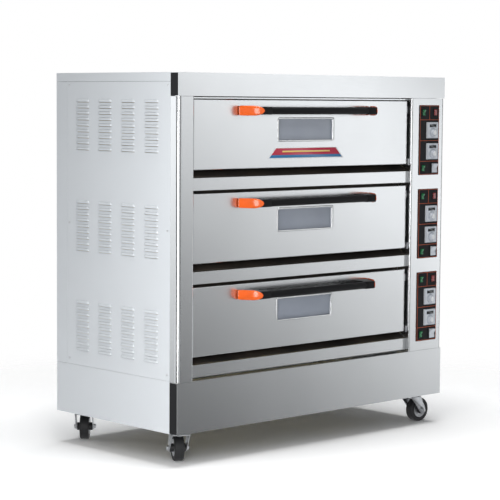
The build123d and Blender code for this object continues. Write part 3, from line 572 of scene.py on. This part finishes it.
def pointTree():
    # template put on every vertex, turned to face the way stored with it
    tree, given = startTree("repeatOnPoints", (
        ("Points", "Geometry"), ("Template", "Object"), ("Spin", "Float"), ("Seed", "Int"),
        ("Finish", "Material")))
    facing = tree.nodes.new("GeometryNodeInputNamedAttribute")
    facing.data_type = "FLOAT_VECTOR"
    facing.inputs["Name"].default_value = "facing"
    align = tree.nodes.new("FunctionNodeAlignRotationToVector")
    align.axis = "Z"
    tree.links.new(facing.outputs[0], align.inputs["Vector"])
    turned = tree.nodes.new("FunctionNodeRotateRotation")
    turned.rotation_space = "LOCAL"
    tree.links.new(align.outputs[0], turned.inputs[0])
    tree.links.new(randomSpin(tree, given, "Z"), turned.inputs[1])
    return finishTree(tree, given["Points"], turned.outputs[0], given)


def pointMesh(name, spots, ways):
    # loose points, each with the way that its copy faces
    mesh = bpy.data.meshes.new(name)
    mesh.from_pydata(spots, [], [])
    facing = mesh.attributes.new("facing", "FLOAT_VECTOR", "POINT")
    facing.data.foreach_set("vector", [value for way in ways for value in way])
    return mesh


def repeated(name, tree, templateMesh, slot, body, values, points=None, replaced=()):
    # run a repeat tree once and keep the result as a plain mesh
    template = bpy.data.objects.new(name + "Template", templateMesh)
    draft = bpy.data.objects.new(name + "Draft", points or bpy.data.meshes.new(name + "Draft"))
    for made in (template, draft):
        scene.collection.objects.link(made)
    modifier = draft.modifiers.new("repeat", "NODES")
    modifier.node_group = tree
    values = {**values, "Template": template, "Finish": finishes[slot]}
    for item in tree.interface.items_tree:
        if item.in_out == "INPUT" and item.name in values:
            modifier[item.identifier] = values[item.name]
    mesh = smoothed(evaluatedMesh(draft, name))
    for made in (template, draft):
        bpy.data.objects.remove(made)
    addPiece(name, mesh, slot, body, replaced=replaced)


gridTree, spotTree = repeatTree(), pointTree()
print("repeat trees made")


# pressed hoods over the side and back vents

hoodSizes = {"length": 0.089, "rise": 0.0056, "height": 0.0115, "endRound": 0.012, "sheet": 0.0009,
             "clear": 0.0001, "stepsAlong": 22, "stepsAround": 8, "spin": 0.0, "seed": 3}
hoodLayout = {"rows": 9, "groups": 3, "rowStep": 0.025, "groupStep": 0.425,
              "belowLid": 0.118, "slotHalf": 0.0028,   # the first row's middle, and half of a slot's height
              "sideColumns": 4, "sideStep": 0.149, "behindPost": 0.163,
              "backColumns": 5, "backStep": 0.26, "backHalf": 0.52}


def hoodMesh(name, outward):
    # hood open along its bottom edge, standing out along outward (+1 or -1) in X
    rise, height, length = hoodSizes["rise"], hoodSizes["height"], hoodSizes["length"]
    sheet, clear = hoodSizes["sheet"], hoodSizes["clear"]
    across, around = hoodSizes["stepsAlong"], hoodSizes["stepsAround"]

    def build(bm):
        rows = []
        for i in range(across + 1):
            y = (-1 + 2 * i / across) * length / 2
            fromEnd = (length / 2 - abs(y)) / hoodSizes["endRound"]
            full = math.sqrt(max(0.0, 1 - (1 - min(1, fromEnd)) ** 2))
            outer, inner = [], []
            for k in range(around + 1):
                angle = math.pi / 2 * k / around
                z = height * full * math.cos(angle)
                x = rise * full * math.sin(angle)
                outer.append((outward * (x + clear), y, z))
                inner.append((outward * max(clear / 2, x - sheet), y, max(0.0, z - sheet)))
            rows.append(outer + inner[::-1])
        addSkin(bm, rows)
    return meshFrom(name, build)


def placeHoods(name, template, columns, x, y, columnStep):
    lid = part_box("top_panel")[1].z
    start = (x, y, lid - hoodLayout["belowLid"] - hoodLayout["slotHalf"])
    repeated(name, gridTree, template, "panel_paint", "root", {
        "Columns": columns, "Rows": hoodLayout["rows"], "Groups": hoodLayout["groups"],
        "Start": start, "Column Step": columnStep, "Row Step": (0, 0, -hoodLayout["rowStep"]),
        "Group Step": (0, 0, -hoodLayout["groupStep"]), "Spin": hoodSizes["spin"], "Seed": hoodSizes["seed"]})


def sideHoods(side, panel, outward):
    low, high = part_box(panel)
    face = low.x if outward < 0 else high.x
    placeHoods("ventHoods" + side, hoodMesh("hoodTemplate" + side, outward), hoodLayout["sideColumns"],
               face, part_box("left_post")[0].y + hoodLayout["behindPost"], (0, hoodLayout["sideStep"], 0))


def backHoods():
    low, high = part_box("back_panel")
    template = hoodMesh("hoodTemplateBack", 1)
    template.transform(Matrix.Rotation(math.pi / 2, 4, "Z"))
    placeHoods("ventHoodsBack", template, hoodLayout["backColumns"],
               (low.x + high.x) / 2 - hoodLayout["backHalf"], high.y, (hoodLayout["backStep"], 0, 0))


sideHoods("Left", "left_side_panel", -1)
sideHoods("Right", "right_side_panel", 1)
backHoods()
print("vent hoods made")


# screws, put where the CAD has them

screwSizes = {"headRadius": 0.0046, "headHeight": 0.0024, "flat": 0.45, "domeSteps": 6, "sides": 24,
              "recess": ((0.99, 0.0034), (0.55, 0.0030)),   # parts of the height, radius
              "quarterLow": (0.0009, -0.0011, 0.5), "quarterHigh": (0.0031, 0.0011, 0.93),
              "shankRadius": 0.0035, "spin": 3.14, "seed": 11}


def screwMesh():
    # pan head along +Z, with four raised quarters that leave a cross between them
    radius, height, flat = screwSizes["headRadius"], screwSizes["headHeight"], screwSizes["flat"]
    quarter = (screwSizes["quarterLow"], screwSizes["quarterHigh"])
    low, high = ((x, y, height * part) for x, y, part in quarter)
    angles = [math.pi / 2 * k / screwSizes["domeSteps"] for k in range(1, screwSizes["domeSteps"] + 1)]
    profile = [(0, radius)]
    profile += [(height * math.sin(a), radius * (flat + (1 - flat) * math.cos(a))) for a in angles]
    profile += [(height * part, inside) for part, inside in screwSizes["recess"]]

    def build(bm):
        addTurned(bm, (0, 0, 0), (0, 0, 1), profile, screwSizes["sides"])
        for way in range(4):
            start = len(bm.verts)
            addBox(bm, low, high)
            bm.verts.ensure_lookup_table()
            turn = Matrix.Rotation(math.pi / 2 * way + math.pi / 4, 4, "Z")
            for vert in bm.verts[start:]:
                vert.co = turn @ vert.co
    return meshFrom("screwTemplate", build)


def screwPoints():
    # one point under each CAD screw head, with the way it faces
    seats, ways = [], []
    for solid in solidsOf("fasteners"):
        low, high = boxOf(solid)
        axis = max(range(3), key=lambda k: (high - low)[k])
        middle = (low + high) / 2
        head = []
        for spot in solid:
            offset = spot - middle
            offset[axis] = 0
            if offset.length > screwSizes["shankRadius"]:
                head.append(spot[axis])
        way = Vector((0, 0, 0))
        way[axis] = 1 if sum(head) / len(head) > middle[axis] else -1
        middle[axis] = min(head) if way[axis] > 0 else max(head)
        seats.append(middle)
        ways.append(way)
    return pointMesh("screwPoints", seats, ways)


screwSpots = screwPoints()
print("screws found:", len(screwSpots.vertices))
repeated("panelScrews", spotTree, screwMesh(), "zinc_steel", "root",
         {"Spin": screwSizes["spin"], "Seed": screwSizes["seed"]}, points=screwSpots, replaced=("fasteners",))


# doors: grips, caps and window frames

gripEdge = 0.0022   # metres
capSizes = {"height": 0.041, "thickness": 0.0105, "reach": 1.05, "sunk": 0.0045, "endBand": 0.006,
            "noseStart": 0.52, "blunt": 0.07, "startEase": 0.55, "footHeight": 0.86, "footDome": 0.55,
            "noseHeight": (2.1, 0.0004), "noseDome": (2.4, 0.05), "crown": 0.55,   # power, least left of it
            "stepsAlong": 26, "stepsAround": 14, "stepsBehind": 4, "behind": 0.001, "sharp": 60}
windowSizes = {"overlap": 0.008, "lip": 0.0075, "proud": 0.0016, "corner": 0.004, "depth": 0.009, "sharp": 50}
windowFrameMetal = brushedSteel("polishedWindowFrame", (0.90, 0.91, 0.92), 0.16, noGrain)


def addCap(bm, foot, nose, outward):
    # bullet-shaped cap lying on the slanted side of a handle, domed outwards
    along = nose - foot
    across, around, behind = capSizes["stepsAlong"], capSizes["stepsAround"], capSizes["stepsBehind"]
    footHeight, footDome = capSizes["footHeight"], capSizes["footDome"]
    (heightPower, leastHeight), (domePower, leastDome) = capSizes["noseHeight"], capSizes["noseDome"]
    rows = []
    for i in range(across + 1):
        u = i / across
        ease = math.sin(math.pi / 2 * min(1, u / capSizes["blunt"])) ** 0.5 if u else capSizes["startEase"]
        tip = max(0.0, (u - capSizes["noseStart"]) / (1 - capSizes["noseStart"]))
        half = (capSizes["height"] / 2 * (footHeight + (1 - footHeight) * ease)
                * math.sqrt(max(leastHeight, 1 - tip ** heightPower)))
        dome = (capSizes["thickness"] * (footDome + (1 - footDome) * ease)
                * max(leastDome, 1 - tip ** domePower))
        row = []
        for k in range(around + 1):
            angle = math.pi * k / around
            row.append(foot + along * u + outward * (dome * math.sin(angle) ** capSizes["crown"])
                       + Vector((0, 0, half * math.cos(angle))))
        for k in range(behind, -1, -1):
            row.append(foot + along * u - outward * capSizes["behind"]
                       + Vector((0, 0, half * math.cos(math.pi * k / behind))))
        rows.append(row)
    addSkin(bm, rows)


def doorCaps(deck):
    cadMesh = frame["nodes"][f"door_{deck}_caps"].data
    middle = sum(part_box(f"door_{deck}_caps"), Vector()) / 2
    band, sunk = capSizes["endBand"], capSizes["sunk"]

    def build(bm):
        for side in (-1, 1):
            spots = [v.co for v in cadMesh.vertices if (v.co.x - middle.x) * side > 0]
            back, front = max(c.y for c in spots), min(c.y for c in spots)
            foot = max((c for c in spots if c.y > back - band), key=lambda c: c.x * side)
            tip = max((c for c in spots if c.y < front + band), key=lambda c: c.x * side)
            foot, tip = Vector((foot.x, foot.y, middle.z)), Vector((tip.x, tip.y, middle.z))
            way = (tip - foot).normalized()
            outward = Vector((-way.y, way.x, 0)) * (1 if -way.y * side > 0 else -1)
            nose = foot + (tip - foot) * capSizes["reach"]
            addCap(bm, foot - outward * sunk, nose - outward * sunk, outward)
    name = f"gripCaps{deck}"
    addPiece(name, smoothed(meshFrom(name, build), capSizes["sharp"]), "orange_plastic", f"door_{deck}",
             replaced=(f"door_{deck}_caps",))


def windowFrame(deck):
    low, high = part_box(f"door_{deck}_glass")
    overlap, lip, proud, depth = (windowSizes[key] for key in ("overlap", "lip", "proud", "depth"))
    size = (high.x - low.x - 2 * overlap, high.z - low.z - 2 * overlap)
    centre = ((low.x + high.x) / 2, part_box(f"door_{deck}_skin")[0].y, (low.z + high.z) / 2)
    # outer edge, its rounding and the flat face, then the fold inwards and the throat down to the glass
    section = ((lip, 0.0002), (lip - 0.0004, -proud * 0.6), (lip - 0.0012, -proud),
               (0.0022, -proud), (0.0010, -proud * 0.7), (-0.0012, proud),
               (-0.0014, depth), (-0.0002, depth), (-0.0002, 0.0002))
    name = f"windowFrame{deck}"
    mesh = meshFrom(name, lambda bm: addRing(bm, centre, size, windowSizes["corner"], section))
    addPiece(name, smoothed(mesh, windowSizes["sharp"]), "brushed_stainless", f"door_{deck}",
             material=windowFrameMetal)


for deck in decks:
    softened(f"door_{deck}_handle", f"gripBar{deck}", gripEdge, f"door_{deck}")
    doorCaps(deck)
    windowFrame(deck)
print("door pieces made")


# colour plate on the top door: white rim, red and blue fields, one yellow bar

badgeSizes = {"bottom": 0.455, "top": 0.365, "low": 0.038, "high": 0.084, "thickness": 0.0006,
              "border": 0.0035, "split": 0.34, "rimEdge": 0.0002, "fieldEdge": 0.0001,
              "borders": {"low": 1.0, "high": 0.6, "lowEnds": 1.6, "highEnds": 1.3},   # parts of border
              "fieldProud": 1.6, "barBack": 1.5, "barProud": 2.1,   # parts of thickness
              "barPart": 3.2, "barPlace": 1.5, "barLength": 0.8, "barHeight": 0.32}
badgeColours = {"rim": (0.86, 0.87, 0.88), "field": ((0.045, 0.20, 0.42), (0.50, 0.035, 0.07)),
                "bar": ((0.86, 0.60, 0.12), (0.92, 0.74, 0.30))}   # below and above the line


printing = {"roughness": 0.18, "coat": 0.3, "haze": 60, "hazeRoughness": (0.15, 0.24)}


def printedPlastic(name, below, above, edge):
    # glossy print, one colour below a height in metres and one above it
    material, tree, shader = newMaterial(name, below, printing["roughness"], Coat_Weight=printing["coat"])
    split = tree.nodes.new("ShaderNodeSeparateXYZ")
    tree.links.new(objectPlace(tree), split.inputs[0])
    mix = tree.nodes.new("ShaderNodeMix")
    mix.data_type = "RGBA"
    tree.links.new(mathNode(tree, "GREATER_THAN", split.outputs["Z"], edge), mix.inputs[0])
    mix.inputs[6].default_value = (*below, 1)
    mix.inputs[7].default_value = (*above, 1)
    tree.links.new(mix.outputs[2], shader.inputs["Base Color"])
    varyRoughness(tree, shader, noiseOn(tree, printing["haze"]), *printing["hazeRoughness"])
    return material


def colourPlate():
    low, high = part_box("door_1_skin")
    middle, face = (low.x + high.x) / 2, low.y
    lowZ, highZ = low.z + badgeSizes["low"], low.z + badgeSizes["high"]
    splitZ = lowZ + (highZ - lowZ) * badgeSizes["split"]
    rim, thick = badgeSizes["border"], badgeSizes["thickness"]
    rims = {edge: rim * part for edge, part in badgeSizes["borders"].items()}

    def addPlate(bm, bottom, top, zLow, zHigh, back, front, bevel):
        outline = ((-bottom, zLow), (bottom, zLow), (top, zHigh), (-top, zHigh))
        addSkin(bm, [[(middle + x, y, z) for x, z in outline] for y in (back, front)])
        bmesh.ops.bevel(bm, geom=list(bm.edges), offset=bevel, segments=2, profile=0.5, affect="EDGES")

    half, narrow = badgeSizes["bottom"] / 2, badgeSizes["top"] / 2
    slope = (half - narrow) / (highZ - lowZ)
    inHalf, inNarrow = half - rims["lowEnds"] - slope * rim, narrow - rims["highEnds"]
    bar = (highZ - splitZ) / badgeSizes["barPart"]
    barZ = splitZ + bar * badgeSizes["barPlace"]
    barHalf, barUp = inNarrow * badgeSizes["barLength"], bar * badgeSizes["barHeight"]
    rimMesh = meshFrom("badgeRim", lambda bm: addPlate(
        bm, half, narrow, lowZ, highZ, face, face - thick, badgeSizes["rimEdge"]))
    fieldMesh = meshFrom("badgeField", lambda bm: addPlate(
        bm, inHalf, inNarrow, lowZ + rims["low"], highZ - rims["high"],
        face - thick, face - thick * badgeSizes["fieldProud"], badgeSizes["fieldEdge"]))
    barMesh = meshFrom("badgeStripe", lambda bm: addBox(
        bm, (middle - barHalf, face - thick * badgeSizes["barProud"], barZ - barUp),
        (middle + barHalf, face - thick * badgeSizes["barBack"], barZ + barUp), badgeSizes["rimEdge"]))
    addPiece("badgeRim", smoothed(rimMesh), "white_rocker", "door_1",
             material=mouldedPlastic("badgeWhite", badgeColours["rim"], 0.2, 0.03))
    addPiece("badgeField", smoothed(fieldMesh), "lamp_glass", "door_1",
             material=printedPlastic("badgeColours", *badgeColours["field"], splitZ))
    addPiece("badgeStripe", smoothed(barMesh), "white_rocker", "door_1",
             material=printedPlastic("badgeYellow", *badgeColours["bar"], barZ))


colourPlate()
print("colour plate made")


# control column: printed lines, displays, dial ticks, bezels and pointers

rimSeat = 0.0002   # how far a raised rim reaches into the face it stands on
panelSizes = {"line": 0.0019, "proud": 0.0004, "inset": 0.0022, "corner": 0.003,
              "cells": (0.066, 0.160, 0.253), "plateHeight": 0.3}   # only solids taller than this are plates
displaySizes = {"belowTop": 0.0155, "half": (0.0232, 0.0066), "thickness": 0.0006, "edge": 0.0005,
                "corner": 0.001, "rim": ((0.0024, rimSeat), (0.0020, -0.0010), (0.0010, -0.0012),
                                         (0.0001, -0.0007), (0.0001, rimSeat))}
bezelSizes = {"plateHeight": 0.06, "corner": 0.004,
              "rim": ((0.0, 0.0012), (0.0, -0.0004), (-0.0008, -0.0013), (-0.0026, -0.0013),
                      (-0.0030, rimSeat)),
              "dial": ((0, 0.0225), (0.0007, 0.0222), (0.0008, 0.0214), (0.0003, 0.0212)), "dialSides": 48}
tickSizes = {"count": 11, "sweep": 270.0, "ring": 0.0188, "sunk": 0.0007, "half": 0.0015, "width": 0.0004,
             "edge": 0.0001, "spin": 0.0, "seed": 5}
knobSizes = {"radius": 0.0112, "sunk": 0.0003, "pointerHalf": 0.0008, "pointerDepth": (-0.0027, -0.0012),
             "pointerReach": (0.002, 0.0104), "pointerEdge": 0.0003,
             # along, part of radius
             "profile": ((0, 1), (0.0008, 1), (0.0016, 0.9), (0.0021, 0.62), (0.0021, 0.2))}
switchSizes = {"edge": 0.0008, "corner": 0.0012,
               "rim": ((0.0036, rimSeat), (0.0032, -0.0016), (0.0014, -0.0022), (0.0006, -0.0016),
                       (0.0006, rimSeat))}
panelInk = mouldedPlastic("panelInkOrange", (0.55, 0.10, 0.035), 0.35, 0.02)
displayGlass = mouldedPlastic("displayDark", (0.012, 0.016, 0.020), 0.08, 0.0, Coat_Weight=0.5)
bezelPale = mouldedPlastic("bezelPale", (0.62, 0.66, 0.73), 0.24, 0.02, Coat_Weight=0.3)
knobCap = mouldedPlastic("knobCapWhite", (0.86, 0.88, 0.90), 0.16, 0.02, Coat_Weight=0.6)


def rimAround(bm, low, high, face, corner, rim):
    # ring round the outline of a box, standing on a face
    addRing(bm, ((low.x + high.x) / 2, face, (low.z + high.z) / 2),
            (high.x - low.x, high.z - low.z), corner, rim)


def panelLines(plates):
    # thin printed frames and dividing lines on the black plates
    line, proud, inset = panelSizes["line"], panelSizes["proud"], panelSizes["inset"]
    section = ((0, rimSeat), (0, -proud), (-line, -proud), (-line, rimSeat))

    def build(bm):
        for low, high in plates:
            front, back = low.y - proud, low.y + rimSeat
            x0, x1, z0, z1 = low.x + inset, high.x - inset, low.z + inset, high.z - inset
            x = (x0 + x1) / 2
            addRing(bm, (x, low.y, (z0 + z1) / 2), (x1 - x0, z1 - z0), panelSizes["corner"], section)
            for down in panelSizes["cells"]:
                z = high.z - down
                addBox(bm, (x0 + line, front, z - line / 2), (x1 - line, back, z + line / 2))
            addBox(bm, (x - line / 2, front, high.z - panelSizes["cells"][0] + line / 2),
                   (x + line / 2, back, z1 - line))
    addPiece("panelLines", meshFrom("panelLines", build), "orange_plastic", "root", material=panelInk)


def instrumentFaces(faces, shafts):
    # display, its frame, an outer bezel and a raised dial rim on every thermostat
    halfX, halfZ = displaySizes["half"]
    thick = displaySizes["thickness"]

    def dark(bm):
        for low, high in faces:
            x, z = (low.x + high.x) / 2, high.z - displaySizes["belowTop"]
            addBox(bm, (x - halfX, low.y - thick, z - halfZ), (x + halfX, low.y + thick, z + halfZ),
                   displaySizes["edge"])

    def pale(bm):
        for (low, high), (x, z) in zip(faces, shafts):
            top = high.z - displaySizes["belowTop"]
            addRing(bm, ((low.x + high.x) / 2, low.y, top), (2 * halfX, 2 * halfZ), displaySizes["corner"],
                    displaySizes["rim"])
            rimAround(bm, low, high, low.y, bezelSizes["corner"], bezelSizes["rim"])
            addTurned(bm, (x, low.y + rimSeat, z), (0, -1, 0), bezelSizes["dial"], bezelSizes["dialSides"])
    addPiece("displayWindows", smoothed(meshFrom("displayWindows", dark)), "black_trim", "root",
             material=displayGlass)
    addPiece("instrumentRims", smoothed(meshFrom("instrumentRims", pale)), "instrument_plastic", "root",
             material=bezelPale)


def dialTicks(face, shafts):
    # short marks round each dial, placed by the point tree
    spots, ways = [], []
    count, sweep, ring = tickSizes["count"], math.radians(tickSizes["sweep"]), tickSizes["ring"]
    for x, z in shafts:
        for k in range(count):
            angle = math.pi / 2 - sweep / 2 + sweep * k / (count - 1)
            way = (math.cos(angle), 0, math.sin(angle))
            spots.append((x + way[0] * ring, face - tickSizes["sunk"], z + way[2] * ring))
            ways.append(way)
    half, width = tickSizes["half"], tickSizes["width"]
    tick = meshFrom("tickTemplate", lambda bm: addBox(
        bm, (-width, -width, -half), (width, width, half), tickSizes["edge"]))
    repeated("dialTicks", spotTree, tick, "black_trim", "root",
             {"Spin": tickSizes["spin"], "Seed": tickSizes["seed"]},
             points=pointMesh("tickPoints", spots, ways))


def knobTop(deck, number):
    # bright cap with a raised pointer on a thermostat knob
    low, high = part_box(f"knob_{deck}_{number}")
    x, y, z = (low.x + high.x) / 2, low.y, (low.z + high.z) / 2
    profile = [(along, knobSizes["radius"] * part) for along, part in knobSizes["profile"]]
    half, (front, back) = knobSizes["pointerHalf"], knobSizes["pointerDepth"]
    near, far = knobSizes["pointerReach"]

    def build(bm):
        addTurned(bm, (x, y + knobSizes["sunk"], z), (0, -1, 0), profile)
        addBox(bm, (x - half, y + front, z + near), (x + half, y + back, z + far), knobSizes["pointerEdge"])
    name = f"knobTop{deck}{number}"
    addPiece(name, smoothed(meshFrom(name, build)), "knob_plastic", f"knob_{deck}_{number}", material=knobCap)


def switchRims(boxes, face):
    def build(bm):
        for low, high in boxes:
            rimAround(bm, low, high, face, switchSizes["corner"], switchSizes["rim"])
    addPiece("switchRims", smoothed(meshFrom("switchRims", build)), "black_trim", "root")


def tallSolids(nodeName, least):
    boxes = [boxOf(solid) for solid in solidsOf(nodeName)]
    return [(low, high) for low, high in boxes if high.z - low.z > least]


def shaftSpots(dials):
    # where the nearest knob's shaft crosses each dial
    knobs = [sum(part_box(f"knob_{deck}_{number}"), Vector()) / 2 for deck in decks for number in knobNumbers]
    spots = []
    for low, high in dials:
        nearest = min(knobs, key=lambda knob: abs(knob.z - (low.z + high.z) / 2))
        spots.append((nearest.x, nearest.z))
    return spots


plates = tallSolids("control_plates", panelSizes["plateHeight"])
dials = tallSolids("thermostats", bezelSizes["plateHeight"])
shafts = shaftSpots(dials)
panelLines(plates)
instrumentFaces(dials, shafts)
dialTicks(min(low.y for low, high in dials), shafts)
switchRims([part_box(f"rocker_{deck}_{kind}") for deck in decks for kind in switchKinds],
           min(low.y for low, high in plates))
for deck in decks:
    for number in knobNumbers:
        knobTop(deck, number)
    for kind in switchKinds:
        rocker = f"rocker_{deck}_{kind}"
        softened(rocker, f"rocker{deck}{kind.title()}", switchSizes["edge"], rocker)
print("control pieces made:", len(plates), "plates,", len(dials), "thermostats")


# casters: hub trim and ball races

casterSizes = {
    "wheelEdge": 0.0012, "forkEdge": 0.0009,
    # every profile lists (along, radius); the race's radii are measured from raceRadius
    "hubHalf": 0.0175, "hubSides": 48,
    "hubRing": ((0, 0.036), (0.0012, 0.0355), (0.0016, 0.034), (0.0012, 0.0325), (0.0004, 0.032)),
    "rivets": 6, "rivetCircle": 0.0265, "rivetSides": 16,
    "rivet": ((-0.001, 0.0022), (0.0006, 0.0022), (0.0013, 0.0014), (0.0015, 0.0004)),
    "raceRadius": 0.031, "raceDrop": 0.0108, "raceSides": 56,
    "race": ((0, -0.004), (0, 0.001), (0.0016, 0.0036), (0.0040, 0.0044), (0.0064, 0.0036), (0.0080, 0.001),
             (0.0080, -0.004)),
}
jointNamed = {joint["name"]: joint for joint in frame["joints"]}


def wheelTrim(name):
    # ring and rivets on both faces of the hub
    centre = Vector(jointNamed[f"spin_{name}"]["pos_m"])
    axis = Vector(jointNamed[f"spin_{name}"]["axis"]).normalized()
    upward = Vector((0, 0, 1))
    across = axis.cross(upward)

    def build(bm):
        for side in (-1, 1):
            face = centre + axis * side * casterSizes["hubHalf"]
            addTurned(bm, face, axis * side, casterSizes["hubRing"], casterSizes["hubSides"])
            for k in range(casterSizes["rivets"]):
                angle = 2 * math.pi * k / casterSizes["rivets"]
                way = across * math.cos(angle) + upward * math.sin(angle)
                spot = face + way * casterSizes["rivetCircle"]
                addTurned(bm, spot, axis * side, casterSizes["rivet"], casterSizes["rivetSides"])
    addPiece(f"hubTrim_{name}", smoothed(meshFrom(f"hubTrim_{name}", build)), "zinc_steel", f"wheel_{name}")


def raceRing(name):
    # pressed ring over the ball race between fork and top plate
    swivel = jointNamed[f"swivel_{name}"]["pos_m"]
    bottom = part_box(f"caster_fork_{name}")[1].z - casterSizes["raceDrop"]
    profile = [(along, casterSizes["raceRadius"] + out) for along, out in casterSizes["race"]]
    mesh = meshFrom(f"raceRing_{name}", lambda bm: addTurned(
        bm, (swivel[0], swivel[1], bottom), (0, 0, 1), profile, casterSizes["raceSides"]))
    addPiece(f"raceRing_{name}", smoothed(mesh), "zinc_steel", f"fork_{name}")


for name in casterNames:
    softened(f"caster_wheel_{name}", f"casterWheel_{name}", casterSizes["wheelEdge"], f"wheel_{name}")
    softened(f"caster_fork_{name}", f"casterFork_{name}", casterSizes["forkEdge"], f"fork_{name}")
    wheelTrim(name)
    raceRing(name)
print("casters made")
